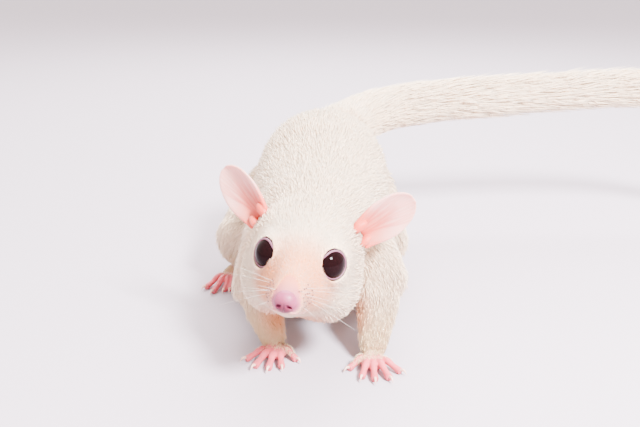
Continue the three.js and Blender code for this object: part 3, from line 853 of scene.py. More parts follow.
def seated(item: Object, matrix: Matrix) -> Object:
    """Moves a piece's mesh to its place and keeps its faces outward.

    Args:
        item: Piece modelled at the origin.
        matrix: Its place.

    Returns:
        The same piece.
    """
    item.data.transform(matrix)
    if matrix.determinant() < 0:
        item.data.flip_normals()
    item.data.update()
    return item


def plain(item: Object, colour: Colour) -> Object:
    """Paints a piece all over in one colour and returns it."""
    paint(item, colour.rows(len(item.data.vertices)))
    return item


def dressed(
    item: Object, material: Material, replaced: Sequence[str] = ()
) -> None:
    """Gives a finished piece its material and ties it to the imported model.

    Args:
        item: Finished piece.
        material: Its material.
        replaced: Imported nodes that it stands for.
    """
    item.data.materials.clear()
    item.data.materials.append(material)
    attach(item, "root")
    if replaced:
        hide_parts(*replaced)


@dataclass(frozen=True)
class Bone:
    """A length of the body whose hair lies one way. Sizes are in the animal's millimetres."""

    start: Point
    end: Point
    radius: float
    hair: float
    lean: Point = (0.0, 0.0, 0.0)

    def reach(self, points: Array) -> Array:
        """Measures how far points are from the bone's surface.

        Args:
            points: Points in the animal's millimetres.

        Returns:
            Distances, negative inside.
        """
        a, b = np.array(self.start), np.array(self.end)
        t = np.clip((points - a) @ (b - a) / ((b - a) @ (b - a)), 0, 1)
        return np.linalg.norm(points - a - t[:, None] * (b - a), axis=1) - self.radius

    def way(self) -> Array:
        """Returns the way the hair lies."""
        return unit(unit(np.array(self.end) - np.array(self.start)) + np.array(self.lean))


TAIL_LINE = (
    (1.5, 84, 31),
    (3, 92, 36),
    (7, 103, 42.5),
    (19, 110.5, 48.5),
    (40, 113.5, 52),
    (70, 115.5, 54),
    (105, 118, 56.2),
    (136, 117, 57),
    (154, 112.5, 54.8),
    (165, 106, 51.2),
)
TAIL_RADII = (14.0, 12.6, 8.4, 5.6, 3.7, 2.7, 2.5, 2.4, 2.0, 1.1)
TAIL_HAIR = (6.0, 8.0, 11.0, 13.0, 13.0, 13.0, 13.0, 13.0)
ARM_JOINTS = {
    "left": ((11, 27, 27), (17.5, 17, 19), (14.8, 2.5, 4.2)),
    "right": ((-13, 27, 26), (-18.5, 19, 16), (-13.4, 8.6, 4.2)),
}
LEG_JOINTS = {
    "left": ((12, 79, 25), (20, 60, 15.5), (19.5, 72, 4.6)),
    "right": ((-12, 79, 25), (-25, 60, 16), (-27.5, 71, 4.6)),
}
PALMS = {
    "hand_left": (14.6, -1.2, 1.2),
    "hand_right": (-12.7, 5.0, 1.2),
    "foot_left": (20.3, 66.0, 1.5),
    "foot_right": (-29.2, 64.5, 1.5),
}
WRISTS = [
    (f"wrist_{side}", ARM_JOINTS[side], (PALMS[f"hand_{side}"][0], PALMS[f"hand_{side}"][1] + 1.5, 2.4))
    for side, _ in SIDES
]


TRUNK = [
    Bone((-3.6, 8, 31), (-1.5, 32, 28), 15, 3.8, DOWNWARD),
    Bone((-1, 30, 26.5), (0, 60, 27), 20, 4.9, DOWNWARD),
    Bone((0, 60, 27), (1, 84, 31), 22, 5.2, DOWNWARD),
]
# The upper and lower length of each limb, with its radius and the length of its hair.
LIMB_SIZES = ((ARM_JOINTS, 0, 8.7, 3.6), (ARM_JOINTS, 1, 5.8, 2.3), (LEG_JOINTS, 0, 12, 4.2), (LEG_JOINTS, 1, 6, 2.4))
LIMBS = [
    Bone(joints[side][number], joints[side][number + 1], radius, hair)
    for side, _ in SIDES
    for joints, number, radius, hair in LIMB_SIZES
]
TAIL = [
    Bone(a, b, (r + next_r) / 2, hair)
    for a, b, r, next_r, hair in zip(TAIL_LINE[1:], TAIL_LINE[2:], TAIL_RADII[1:], TAIL_RADII[2:], TAIL_HAIR)
]
BONES = TRUNK + LIMBS + TAIL


def nearest(bones: Sequence[Bone], body: Array) -> Array:
    """Returns how far points are from the nearest of some bones."""
    return np.min([bone.reach(body) for bone in bones], axis=0)


@dataclass
class EyeShape:
    """Size and place of an eye, in the head's own millimetres for the left side."""

    radius: float = 4.9
    centre: Point = (6.97, 2.23, -0.49)
    outward: Point = (0.68, -0.72, 0.14)
    opening: float = 3.78
    far: float = 12.0

    def frame(self, sign: float) -> Matrix:
        """Returns the eye's own axes: X away from the nose, Z out of the eye.

        Args:
            sign: One for the left eye, minus one for the right.

        Returns:
            Matrix from the eye's own metres to the frame's.
        """
        z = Vector(self.outward).normalized()
        x = Vector((0, 0, 1)).cross(z).normalized()
        axes = Matrix((x, z.cross(x), z)).transposed().to_4x4()
        return on_head(sign, Matrix.Translation(self.centre) @ axes)

    def gap(self, points: Array) -> tuple[Array, Array]:
        """Measures how far points on the face are from the opening of the nearer eye.

        Args:
            points: Points in the head's own millimetres.

        Returns:
            Distance outside the opening, and the way away from the eye in the head's own frame.
        """
        sign = np.where(points[:, :1] < 0, -1.0, 1.0)
        mirror = np.concatenate([sign, np.ones((len(points), 2))], axis=1)
        away = points * mirror - np.array(self.centre)
        axis = unit(np.array(self.outward))
        forward = away @ axis
        flat = away - forward[:, None] * axis
        distance = np.linalg.norm(flat, axis=1)
        return np.where(forward > 0, distance - self.opening, self.far), unit(flat) * mirror


EYE = EyeShape()


@dataclass
class Skin:
    """The one skin of the head, body, limbs and tail, which lies inside the solids by the depth of the coat."""

    voxel: float = 0.7
    swell: float = 0.4
    crowding: float = 7.6
    most: float = 40.0
    guard_crowding: float = 3.6
    tail_crowding: float = 9.0
    taper: float = 0.5
    wrist_radii: tuple[float, ...] = (5.0, 4.4, 3.3)
    flank_radii: tuple[float, ...] = (4.0, 3.6, 3.0)
    flank: tuple[Point, Point] = ((19, 48, 15.5), (15, 38, 15))
    finest: float = 0.14
    thickening: float = 0.048
    skull: Point = (0, 5, -3)
    skull_half: Point = (17, 21, 16)
    whorl: Point = (0.0, -18.0, -6.0)
    head_lean: Point = (0.0, 0.75, -0.12)

    def build(self) -> Object:
        """Joins the flesh, wraps it in one skin, and moves the skin in to the roots of the hair.

        Returns:
            The finished skin.
        """
        pieces = [copied(name) for name in FLESH]
        line = [body_point(*place) for place in TAIL_LINE]
        pieces.append(rod("tail_flesh", line, TAIL_RADII, 3))
        for name, joints, palm in WRISTS:
            ends = [Vector(joints[1]).lerp(Vector(joints[2]), 0.55), Vector(joints[2]), Vector(palm)]
            places, radii = stepped([body_point(*end) for end in ends], self.wrist_radii, 7)
            pieces.append(rod(name, places, radii, 3))
        for side, sign in SIDES:
            ends = [body_point(*LEG_JOINTS[side][1])] + [body_point(sign * x, y, z) for x, y, z in self.flank]
            pieces.append(rod(f"flank_{side}", *stepped(ends, self.flank_radii, 6), 3))
        skin = joined("skin", pieces)
        modified(skin, "DISPLACE", strength=self.swell * MM, mid_level=0.0)
        wrapped(skin, self.voxel, 7)
        points = points_of(skin)
        depth = averaged(skin, (self.depths(points) + self.swell)[:, None], 12)
        normals = unit(averaged(skin, normals_of(skin), 3))
        move_points(skin, points - normals * depth * MM)
        modified(skin, "SMOOTH", factor=0.4, iterations=2)
        unwrapped(skin)
        places = points_of(skin)
        bare = SNOUT.share(in_head(places), SNOUT.colour_margin)
        paint(skin, blend(markings(places), Colour.LILAC, bare))
        material = HAIRED_SKIN.textured(grain=0.5, relief=0.06, mottle=0.08, mottle_size=4.0)
        dressed(settled(skin, "skin"), material, FLESH + TAIL_NODES)
        LOG.info("skin: %d faces", len(skin.data.polygons))
        return skin

    def depths(self, points: Array) -> Array:
        """Gives the depth of the coat at a place.

        Args:
            points: Places in the frame.

        Returns:
            Depths in millimetres, none on the tail's own flesh.
        """
        body = in_body(points)
        depth = 0.1 + 0.29 * np.minimum(self.coat_length(points), 5.2)
        slim = smoothstep(1.5, 5.0, nearest(TRUNK, body) - nearest(LIMBS, body))
        ends = [joints[side][2] for joints in (ARM_JOINTS, LEG_JOINTS) for side, _ in SIDES]
        gap = np.min([np.linalg.norm(body - np.array(end), axis=1) for end in ends], axis=0)
        hairy = depth * (1 - self.tail_share(points)) * (1 - 0.35 * slim)
        return hairy + self.taper * smoothstep(8.0, 3.0, gap)

    def tail_share(self, points: Array) -> Array:
        """Gives 1 on the tail and 0 on the rest.

        Args:
            points: Places in the frame.

        Returns:
            A weight for each place.
        """
        body = in_body(points)
        beyond = TRUNK[-1].reach(body) - np.maximum(nearest(TAIL, body), 0)
        return smoothstep(-1.0, 4.0, beyond) * smoothstep(91, 98, body[:, 1])

    def coat_length(self, points: Array) -> Array:
        """Gives the length of the hair at a place.

        Args:
            points: Places in the frame.

        Returns:
            Lengths in millimetres.
        """
        body, head = in_body(points), in_head(points)
        head_hold = self.head_hold(head)
        weights = np.array([hold(bone.reach(body)) for bone in BONES] + [head_hold])
        lengths = [np.full(len(points), bone.hair) for bone in BONES]
        lengths.append(0.95 + 2.6 * smoothstep(-15, 15, head[:, 1]) ** 1.2)
        length = (weights * np.array(lengths)).sum(axis=0) / weights.sum(axis=0)
        at_eye = 0.75 + 0.42 * np.maximum(EYE.gap(head)[0], 0)
        return np.where(head_hold > 0.3, np.minimum(length, at_eye), length)

    def head_hold(self, head: Array) -> Array:
        """Returns how strongly the head's hair rules at points in the head's own millimetres."""
        away = np.linalg.norm((head - np.array(self.skull)) / np.array(self.skull_half), axis=1) - 1
        return hold(away * 15)

    def field(self, skin: Object, layer: Layer) -> CoatField:
        """Works out how one layer of the coat lies on the skin.

        Args:
            skin: The finished skin.
            layer: Which layer is meant.

        Returns:
            The coat's values at its vertices.
        """
        points = points_of(skin)
        body, head = in_body(points), in_head(points)
        gap, away = EYE.gap(head)
        back = np.array(self.head_lean) + unit(head - np.array(self.whorl))
        back = unit(back) + away * (1.3 * np.exp(-((np.maximum(gap, 0) / 1.8) ** 2)))[:, None]
        lie = (unit(back) @ HEAD_ARRAY[:3, :3].T) * self.head_hold(head)[:, None]
        for bone in BONES:
            lie += bone.way() * hold(bone.reach(body))[:, None]
        lie = averaged(skin, unit(lie), 8)
        length = averaged(skin, self.coat_length(points)[:, None], 6)[:, 0]
        tail = averaged(skin, self.tail_share(points)[:, None], 4)[:, 0]
        width = self.finest + self.thickening * np.minimum(length, 6.0)
        hairy = (1 - tail) * smoothstep(0.25, 0.7, gap) * (1 - SNOUT.hairless(head))
        if layer is Layer.TAIL:
            density = self.tail_crowding * tail
        elif layer is Layer.GUARD:
            density = self.guard_crowding * smoothstep(1.9, 3.4, length) * hairy
            width, length = width * 0.72, length * 1.2
        else:
            density = np.minimum(self.crowding / np.maximum(length * width, 0.1), self.most) * hairy
        lift = np.radians(17 + 5 * smoothstep(2, 5, length) + 4 * tail)
        return CoatField(lie, length * MM, width * MM, lift, density, markings(points))


@dataclass
class Eyes:
    """The two large dark eyes and the thin rims of their lids."""

    shape: EyeShape
    rim: float = 0.23
    corner: float = 0.75
    corner_spread: float = 0.42
    ring: float = 0.1

    def build(self) -> None:
        """Builds both eyes."""
        wet = EyeFinish().material()
        margin = LID.textured(grain=0.3, relief=0.02, mottle=0.1, mottle_size=1.5)
        for side, sign in SIDES:
            place = self.shape.frame(sign)
            eye = seated(ball(f"eyeball_{side}", (self.shape.radius,) * 3, 72, 48), place)
            dressed(eye, wet, [f"eye_{side}"])
            dressed(plain(seated(self.lid(f"lid_{side}"), place), Colour.LID), margin)
        LOG.info("eyes: two eyes with their lids")

    def lid(self, name: str) -> Object:
        """Models a lid's rim, round with a point at the corner next to the nose.

        Args:
            name: Name of the rim.

        Returns:
            The rim, modelled about the eye's centre.
        """
        bpy.ops.mesh.primitive_torus_add(
            major_segments=96, minor_segments=12, major_radius=1, minor_radius=self.ring, location=(0, 0, 0)
        )
        item = settled(bpy.context.object, name)
        x, y, z = points_of(item).T
        angle = np.arctan2(y, x)
        corner = self.corner * np.exp(-(((np.pi - np.abs(angle)) / self.corner_spread) ** 2))
        reach = self.shape.opening * (1 - 0.05 * np.abs(np.sin(angle))) + corner + 0.05
        level = np.minimum(reach, self.shape.radius - 0.35)
        seat = np.sqrt(np.maximum(self.shape.radius**2 - level**2, 0)) + 0.12
        thick = self.rim * (1 + 0.25 * np.sin(angle))
        radius = reach + (np.hypot(x, y) - 1) / self.ring * thick
        placed = np.stack([np.cos(angle) * radius, np.sin(angle) * radius, seat + z / self.ring * thick], axis=1)
        move_points(item, placed * MM)
        return item


@dataclass(frozen=True)
class Digit:
    """A finger or toe, as its place on the palm, its splay, its length and its radius."""

    across: float
    along: float
    splay: float
    length: float
    radius: float
    claw: bool = True


@dataclass
class PawShape:
    """Sizes of a hand or a foot, in millimetres, with its digits forward and its thumb inward."""

    palm: Point
    wrist: float
    arch: float
    claw: float
    digits: tuple[Digit, ...]


HAND = PawShape(
    palm=(3.6, 3.8, 2.1),
    wrist=3.0,
    arch=1.5,
    claw=1.9,
    digits=(
        Digit(-3.0, -0.6, 52, 5.2, 0.95),
        Digit(-2.0, 1.9, 21, 6.3, 0.98),
        Digit(-0.5, 2.6, 4, 7.0, 1.0),
        Digit(1.2, 2.3, -15, 7.2, 1.0),
        Digit(2.6, 1.1, -42, 6.2, 0.96),
    ),
)
FOOT = PawShape(
    palm=(3.6, 8.3, 2.4),
    wrist=2.9,
    arch=1.6,
    claw=2.0,
    digits=(
        Digit(-2.6, 1.5, 62, 7.2, 1.35, False),
        Digit(-1.9, 6.6, 12, 6.6, 0.88),
        Digit(-0.7, 7.2, 7, 6.9, 0.88),
        Digit(0.9, 7.2, -3, 9.2, 1.02),
        Digit(2.5, 6.1, -20, 8.0, 0.98),
    ),
)


@dataclass
class Paw:
    """One bare pink hand or foot with its pale claws."""

    node: str
    shape: PawShape
    sign: float
    place: Point
    heading: float
    wrist_joint: Point
    voxel: float = 0.24
    overlap: float = 1.4
    knuckles: tuple[float, ...] = (1.05, 0.95, 1.08, 0.84, 0.95, 1.1, 1.0)
    claw_radii: tuple[float, ...] = (0.44, 0.4, 0.3, 0.18, 0.06)
    lowest: float = 0.02
    hair_crowding: float = 22
    hair_length: float = 1.5
    hair_width: float = 0.17
    hair_lift: float = 15

    def point(self, x: float, y: float, z: float) -> Vector:
        """Returns a point of the paw, given in its own millimetres, in the frame."""
        turn = Matrix.Rotation(math.radians(self.heading), 4, "Z")
        return body_point(*self.place) + (turn @ Vector((x * self.sign, y, z))) * MM

    def digit_line(self, digit: Digit) -> Callable[[float, float], Vector]:
        """Lays out the line of a digit, whose root is sunk in the palm.

        Args:
            digit: The digit.

        Returns:
            A function that gives a place along the digit at a height above the palm's middle.
        """
        splay = math.radians(digit.splay)
        way = Vector((-math.sin(splay), -math.cos(splay), 0))
        root = Vector((digit.across, -digit.along, 0.7)) - way * self.overlap

        def at(share: float, height: float) -> Vector:
            """Returns the place at a share of the digit's length."""
            place = root + way * (digit.length + self.overlap) * share
            return self.point(place.x, place.y, height)

        return at

    def build(self, flesh: Material, horn: Material) -> Object:
        """Builds the paw and its claws.

        Args:
            flesh: Material of the skin.
            horn: Material of the claws.

        Returns:
            The paw's skin.
        """
        palm = ball(f"{self.node}_palm", self.shape.palm, 32, 20)
        turn = Matrix.Rotation(math.radians(self.heading), 4, "Z")
        palm.data.transform(Matrix.Translation(self.point(0, 0, 0.3)) @ turn)
        joint = body_point(*self.wrist_joint)
        girths = [self.shape.wrist * share for share in (0.8, 0.9, 0.9)]
        stem = stepped([self.point(0, 0, 0), joint, joint + Vector((0, 0, 2 * MM))], girths, 6)
        pieces = [palm, rod(f"{self.node}_stem", *stem, 3)]
        claws = []
        for number, digit in enumerate(self.shape.digits):
            at = self.digit_line(digit)
            low = digit.radius * 0.85 - self.place[2]
            heights = ((0, 0.7), (0.25, self.shape.arch - 0.1), (0.45, self.shape.arch - 0.5))
            heights += ((0.62, 0.75 + low), (0.78, 0.45 + low), (0.9, 0.05 + low), (1.0, low))
            radii = [digit.radius * share for share in self.knuckles]
            pieces.append(rod(f"{self.node}_digit", [at(*spot) for spot in heights], radii, 3))
            if digit.claw:
                step = self.shape.claw / (digit.length + self.overlap)
                arc = ((0.97, 0.35), (1 + step * 0.3, 0.75), (1 + step * 0.6, 0.6), (1 + step * 0.85, 0.15))
                line = [at(share, low + height) for share, height in (*arc, (1 + step, -0.3))]
                claws.append(rod(f"{self.node}_claw_{number}", line, self.claw_radii))
        paw = joined(self.node, pieces)
        wrapped(paw, self.voxel, 4)
        points = points_of(paw)
        points[:, 2] = np.maximum(points[:, 2], self.lowest * MM)
        move_points(paw, points)
        self.colour(paw)
        dressed(settled(paw, f"{self.node}_skin"), flesh, [self.node])
        dressed(plain(joined(f"{self.node}_claws", claws), Colour.HORN), horn)
        return paw

    def fuzz(self, paw: Object, hair: Material, seed: int) -> None:
        """Grows the sparse short hair that runs from the wrist over the back of the paw.

        Args:
            paw: The paw's skin.
            hair: Hair material.
            seed: Seed of the draw.
        """
        unwrapped(paw)
        points = points_of(paw)
        place = in_body(points) - np.array(self.place)
        turn = math.radians(self.heading)
        way = np.array((math.sin(turn), -math.cos(turn), -0.15))
        forward = place[:, :2] @ way[:2]
        height = smoothstep(1.2, 2.2, in_body(points)[:, 2])
        density = self.hair_crowding * height * smoothstep(self.shape.palm[1] - 1.0, self.shape.palm[1] - 5.0, forward)
        size = np.ones(len(points))
        lie = np.repeat(way[None, :], len(points), axis=0)
        length, width = size * self.hair_length * MM, size * self.hair_width * MM
        field = CoatField(lie, length, width, size * math.radians(self.hair_lift), density, markings(points))
        Coat(f"{self.node}_hair", seed).grow(paw, field, hair)

    def colour(self, paw: Object) -> None:
        """Paints the paw: pink, deeper at the digits' ends and paler towards the wrist.

        Args:
            paw: The paw's mesh.
        """
        points = in_body(points_of(paw))
        away = np.linalg.norm((points - np.array(self.place))[:, :2], axis=1)
        colours = Colour.BARE.rows(len(points))
        colours = blend(colours, Colour.COAT, 0.35 * smoothstep(3.0, 7.5, points[:, 2]))
        size = self.shape.palm[1]
        paint(paw, blend(colours, Colour.MAGENTA, 0.22 * smoothstep(size + 2, size + 8, away)))


@dataclass
class Ears:
    """The two thin, pink, naked ears, with the folds and the lobes at their roots."""

    root: Point = (12.4, 14, 4.2)
    tip: Point = (26.5, 17.6, 17.2)
    facing: Point = (0.42, -0.9, -0.05)
    half_width: float = 5.9
    veins: tuple[float, ...] = (-0.8, -0.42, 0.0, 0.4, 0.78)
    lobes: tuple[tuple[Point, Point], ...] = (
        ((-2.6, 0.7, 2.6), (1.2, 1.4, 2.9)),
        ((1.7, 0.7, 1.8), (1.1, 1.3, 2.4)),
    )
    voxel: float = 0.2
    forks: tuple[float, ...] = (0.0, 0.3, -0.26)
    vein_width: float = 0.24
    vein_height: float = 0.1
    fold_height: float = 0.2

    def axes(self) -> Matrix:
        """Finds the ear's own axes in the head's millimetres: across, towards the front, and up.

        Returns:
            Matrix from the ear's millimetres to the head's.
        """
        up = (Vector(self.tip) - Vector(self.root)).normalized()
        across = up.cross(Vector(self.facing)).normalized()
        turn = Matrix((across, up.cross(across) * -1, up)).transposed().to_4x4()
        return Matrix.Translation(self.root) @ turn

    def build(self) -> None:
        """Builds both ears from their packed shells."""
        material = EAR_SKIN.textured(grain=0.35, relief=0.05, mottle=0.06, mottle_size=2.5)
        back = np.array(self.axes().inverted())
        for side, sign in SIDES:
            ear = copied(f"ear_{side}")
            edited(ear, (bpy.ops.mesh.tris_convert_to_quads, {}))
            modified(ear, "SUBSURF", levels=2)
            lobes = [self.lobe(f"ear_{side}_lobe", sign, *sizes) for sizes in self.lobes]
            ear = joined(f"ear_{side}_skin", [ear, *lobes])
            wrapped(ear, self.voxel, 5)
            local = in_head(points_of(ear)) * np.array((sign, 1, 1))
            own = local @ back[:3, :3].T + back[:3, 3]
            along = own[:, 2] / (Vector(self.tip) - Vector(self.root)).length
            across = own[:, 0] / self.half_width
            lines = self.vein_share(along, across)
            folds = self.fold_share(along, across)
            height = self.fold_height * folds + self.vein_height * lines
            move_points(ear, points_of(ear) + normals_of(ear) * (height[:, None] * MM))
            colours = Colour.EAR_MIDDLE.rows(len(along))
            colours = blend(colours, Colour.EAR_RIM, smoothstep(0.35, 0.9, along + 0.35 * np.abs(across)))
            colours = blend(colours, Colour.EAR_ROOT, 0.75 * smoothstep(0.36, 0.06, along + 0.2 * across))
            # Painted shade in the creases: the furrows between the folds near the root are a deeper, darker red.
            colours = blend(colours, Colour.EAR_ROOT, 0.45 * (1 - folds) * smoothstep(0.55, 0.15, along))
            paint(ear, blend(colours, Colour.VEIN, 0.6 * lines))
            dressed(settled(ear, f"ear_{side}_skin"), material, [f"ear_{side}"])
        LOG.info("ears: two thin shells with their lobes")

    def vein_share(self, along: Array, across: Array) -> Array:
        """Draws forking veins from the root towards the rim.

        Args:
            along: Share of the way to the tip.
            across: Share of the half width.

        Returns:
            Strength of the veins from 0 to 1.
        """
        share = np.zeros(len(along))
        run = np.clip(along, 0, 1)
        for number, end in enumerate(self.veins):
            path = -0.1 + (end + 0.1) * run**0.75 + 0.04 * np.sin(9 * run + 2.1 * number)
            for fork in self.forks:
                start = 0.0 if fork == 0 else 0.3 + 0.07 * number % 0.2
                line = path + fork * np.maximum(run - start, 0)
                thin = np.exp(-(((across - line) * self.half_width / self.vein_width) ** 2))
                share = np.maximum(share, thin * smoothstep(start - 0.02, start + 0.08, run))
        return share * (1 - 0.75 * smoothstep(0.3, 1.0, run))

    def fold_share(self, along: Array, across: Array) -> Array:
        """Gives the ridges that fan out from the root, from 0 in a furrow to 1 on a ridge."""
        wave = 0.5 + 0.5 * np.cos((across + 0.1) / (0.25 + 0.75 * np.clip(along, 0, 1)) * 4.2)
        return wave * smoothstep(0.75, 0.3, along)

    def lobe(self, name: str, sign: float, place: Point, half: Point) -> Object:
        """Returns a lobe at the root of an ear, at a place and with half sizes along the ear's own axes."""
        return seated(ball(name, half, 32, 20), on_head(sign, self.axes() @ Matrix.Translation(place)))


@dataclass
class Face:
    """Nose, mouth line, whisker spots and whiskers, set on the skin of the muzzle."""

    nose_centre: Point = (0, -14.6, -7.3)
    nose_half: Point = (2.9, 2.3, 2.8)
    nostril: Point = (1.3, -1.8, -0.8)
    mouth: tuple[tuple[float, float], ...] = ((0, -9.9), (16, -10.1), (34, -10.4), (52, -10.4), (70, -9.9))
    mouth_radii: tuple[float, ...] = (0.1, 0.2, 0.28, 0.32, 0.34, 0.32, 0.28, 0.2, 0.1)
    nostril_half: Point = (0.62, 1.6, 0.42)
    rows: int = 4
    columns: int = 5
    spot_radius: float = 0.2
    whisker_radii: tuple[float, ...] = (0.032, 0.029, 0.025, 0.018, 0.008)
    seed: int = 5

    def build(self, skin: Object) -> None:
        """Builds the pieces of the face.

        Args:
            skin: The finished skin.
        """
        self.build_nose()
        self.build_mouth(skin)
        self.build_whiskers(skin)
        LOG.info("face: nose, mouth and whiskers")

    def build_nose(self) -> None:
        """Models the moist nose with its two nostrils and the groove below."""
        nose = ball("nose", self.nose_half, 96, 64)
        points = points_of(nose) / MM
        front = smoothstep(0.2, -0.8, points[:, 1])
        mirrored = points.copy()
        mirrored[:, 0] = np.abs(mirrored[:, 0])
        slant = (mirrored - np.array(self.nostril)) / np.array(self.nostril_half)
        slant[:, 2] += 0.55 * slant[:, 0]
        pit = np.exp(-((slant**2).sum(axis=1)) ** 1.5)
        groove = np.exp(-((points[:, 0] / 0.22) ** 2)) * smoothstep(0.4, -0.6, points[:, 2])
        points[:, 1] += front * (1.1 * pit + 0.3 * groove)
        move_points(nose, points * MM)
        colours = Colour.LILAC.rows(len(points))
        centre = near(mirrored, (0, -1.8, -2.2), (4.3, 3.8, 4.0))
        colours = blend(colours, Colour.MAGENTA, 0.95 * centre)
        # Painted shade: the nostril pits are darkened as the shade that falls inside them.
        colours = blend(colours, Colour.NOSTRIL, 0.9 * pit * front)
        paint(nose, colours)
        nose.data.transform(HEAD @ Matrix.Translation(Vector(self.nose_centre) * MM))
        dressed(nose, WET_SKIN.textured(grain=0.28, relief=0.12, mottle=0.1, mottle_size=1.2))

    def surface_point(self, skin: Object, place: Vector, way: Vector) -> tuple[Vector, Vector]:
        """Finds where a line from inside the muzzle leaves the skin.

        Args:
            skin: The skin.
            place: Start in the head's own millimetres.
            way: Direction in the head's own frame.

        Returns:
            The place on the skin and its normal.
        """
        start = HEAD @ (place * MM)
        direction = (HEAD.to_3x3() @ way).normalized()
        hit, spot, normal, _ = skin.ray_cast(start + direction * 40 * MM, -direction)
        if not hit:
            _, spot, normal, _ = skin.closest_point_on_mesh(start)
        return spot, normal

    def build_mouth(self, skin: Object) -> None:
        """Draws the line of the mouth round the muzzle.

        Args:
            skin: The skin that it follows.
        """
        spots = []
        for degrees, level in [(-a, l) for a, l in reversed(self.mouth[1:])] + list(self.mouth):
            angle = math.radians(degrees)
            way = Vector((math.sin(angle), -math.cos(angle), 0))
            spots.append(self.surface_point(skin, Vector((0, -6, level)), way)[0])
        line = rod("mouth", spots, self.mouth_radii)
        # The mouth line is pink lip skin and painted shade standing in for the groove between the lips.
        dressed(plain(line, Colour.LIP), WET_SKIN.textured(grain=0.3, relief=0.03, mottle=0.1, mottle_size=1.0))

    def build_whiskers(self, skin: Object) -> None:
        """Sets the dark follicle spots and the whiskers on both sides of the muzzle.

        Args:
            skin: The skin that carries them.
        """
        rng = np.random.default_rng(self.seed)
        spots, hairs = [], []
        for _, sign in SIDES:
            for row in range(self.rows):
                for column in range(self.columns):
                    level = -5.2 - 1.2 * row + 0.25 * column + rng.uniform(-0.3, 0.3)
                    start = Vector((0, -12.2 + 1.1 * column + 0.35 * row + rng.uniform(-0.35, 0.35), level))
                    root, normal = self.surface_point(skin, start, Vector((sign, -0.25, 0.05)))
                    spots.append(self.spot(root, normal))
                    if (row + 2 * column) % 3 == 0:
                        hairs.append(self.whisker(root, normal, sign, row, column, rng))
        dots = joined("follicle_spots", spots)
        dressed(plain(dots, Colour.SPOT), SKIN.textured(grain=0.3, relief=0.0, mottle=0.1, mottle_size=1.0))
        whiskers = plain(joined("whiskers", hairs), Colour.WHISKER)
        dressed(whiskers, HAIR.textured(grain=0.3, relief=0.0, mottle=0.04, mottle_size=4.0))

    def spot(self, root: Vector, normal: Vector) -> Object:
        """Models one small flat spot on the skin.

        Args:
            root: Place.
            normal: Way out of the skin.

        Returns:
            The spot.
        """
        bpy.ops.mesh.primitive_ico_sphere_add(subdivisions=2, radius=self.spot_radius * MM, location=(0, 0, 0))
        item = settled(bpy.context.object, "spot")
        turn = normal.to_track_quat("Z", "Y").to_matrix().to_4x4()
        item.data.transform(Matrix.Translation(root + normal * 0.3 * MM) @ turn @ Matrix.Diagonal((1, 1, 0.6, 1)))
        return item

    def whisker(
        self, root: Vector, normal: Vector, sign: float, row: int, column: int, rng: np.random.Generator
    ) -> Object:
        """Bends one whisker out of its spot.

        Args:
            root: Place of the spot.
            normal: Way out of the skin.
            sign: Side of the muzzle.
            row: Row from the top.
            column: Column from the front.
            rng: Source of the draw.

        Returns:
            The whisker.
        """
        length = (5 + 2.6 * column) * rng.uniform(0.85, 1.1) * MM
        out = Vector((sign * 1.0, -0.15 + 0.2 * column, -0.02 - 0.2 * row))
        out = ((HEAD.to_3x3() @ out).normalized() + normal * 0.5).normalized()
        sag = Vector((0, 0.25, -0.16)) * length
        line = [root + out * length * t + sag * t * t for t in (-0.02, 0.2, 0.45, 0.7, 1.0)]
        return rod("whisker", line, self.whisker_radii, 0)


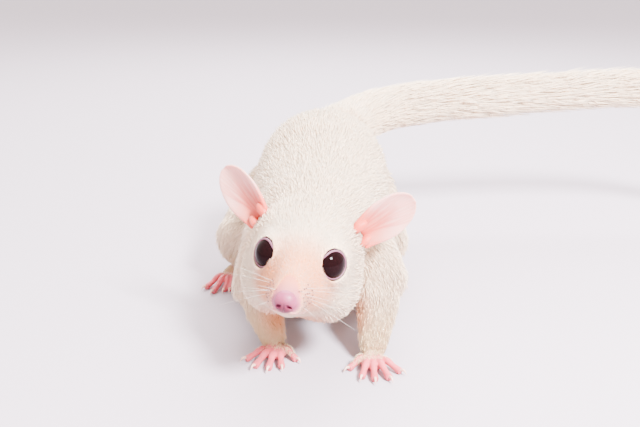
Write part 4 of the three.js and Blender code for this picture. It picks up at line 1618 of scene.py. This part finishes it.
@dataclass
class Studio:
    """A pale floor, soft light, and the camera at the photo's angle."""

    card: int = 0xB7ABB7
    floor_size: float = 24
    sky: int = 0xFFF6F0
    sky_strength: float = 3.1
    lens: float = 50.0
    tilt: float = 17.8
    camera_place: Point = (0, -222, 115)

    def build(self) -> None:
        """Builds the floor, lights, world and camera."""
        bpy.ops.mesh.primitive_plane_add(size=self.floor_size, location=(0, 0, 0))
        floor = settled(bpy.context.object, "floor")
        material, _, shader = PAPER.material()
        shader.inputs["Base Color"].default_value = linear(self.card)
        floor.data.materials.append(material)
        self.area("key", (270, -330, 430), (20, 20, 30), size=0.12, power=30.0)
        self.area("back", (60, 420, 480), (20, 60, 30), size=0.5, power=14.0)
        world = bpy.data.worlds.new("soft room")
        bpy.context.scene.world = world
        world.use_nodes = True
        background = world.node_tree.nodes["Background"]
        background.inputs["Color"].default_value = linear(self.sky)
        background.inputs["Strength"].default_value = self.sky_strength
        rotation = (math.radians(90 - self.tilt), 0, 0)
        bpy.ops.object.camera_add(location=body_point(*self.camera_place), rotation=rotation)
        camera = bpy.context.object
        camera.data.lens = self.lens
        camera.data.sensor_width = 36
        camera.data.clip_start = 0.01
        bpy.context.scene.camera = camera
        LOG.info("studio: floor, two lights and the camera")

    def area(
        self, name: str, place: Point, aim: Point, size: float, power: float
    ) -> None:
        """Adds a soft area light.

        Args:
            name: Name of the light.
            place: Its place in the animal's millimetres.
            aim: The point that it faces.
            size: Its width in metres.
            power: Its power in watts.
        """
        turn = (body_point(*aim) - body_point(*place)).to_track_quat("-Z", "Y").to_euler()
        bpy.ops.object.light_add(type="AREA", location=body_point(*place), rotation=turn)
        light = bpy.context.object
        light.name = name
        light.data.size = size
        light.data.energy = power


def main() -> None:
    """Builds every piece in order."""
    logging.basicConfig(level=logging.INFO, format="%(message)s")
    LOG.info("origin at %s mm", [round(v / MM, 2) for v in ORIGIN])
    body = Skin()
    skin = body.build()
    Eyes(EYE).build()
    Ears().build()
    flesh = SKIN.textured(grain=0.55, relief=0.14, mottle=0.14, mottle_size=3.0)
    horn = CLAW.textured(grain=0.4, relief=0.01, mottle=0.08, mottle_size=1.5)
    paws = (
        ("hand_left", HAND, 1.0, PALMS["hand_left"], 6, ARM_JOINTS["left"][2]),
        ("hand_right", HAND, -1.0, PALMS["hand_right"], -14, ARM_JOINTS["right"][2]),
        ("foot_left", FOOT, 1.0, PALMS["foot_left"], 12, LEG_JOINTS["left"][2]),
        ("foot_right", FOOT, -1.0, PALMS["foot_right"], -17, LEG_JOINTS["right"][2]),
    )
    hair = HAIR.textured(grain=0.3, relief=0.0, mottle=0.05, mottle_size=5.0)
    for number, item in enumerate(paws):
        paw = Paw(*item)
        paw.fuzz(paw.build(flesh, horn), hair, 20 + number)
        LOG.info("%s: skin, claws and short hair", item[0])
    Face().build(skin)
    Coat("fur", seed=7).grow(skin, body.field(skin, Layer.UNDER), hair)
    guard = Coat("guard_hair", seed=9, bent=True, clump=1.5, pull=0.28, stray=0.17, spread=0.4)
    guard.grow(skin, body.field(skin, Layer.GUARD), hair)
    Coat("tail_fur", seed=8, bent=True, clump=1.0).grow(skin, body.field(skin, Layer.TAIL), hair)
    Studio().build()


if __name__ == "__main__":
    main()
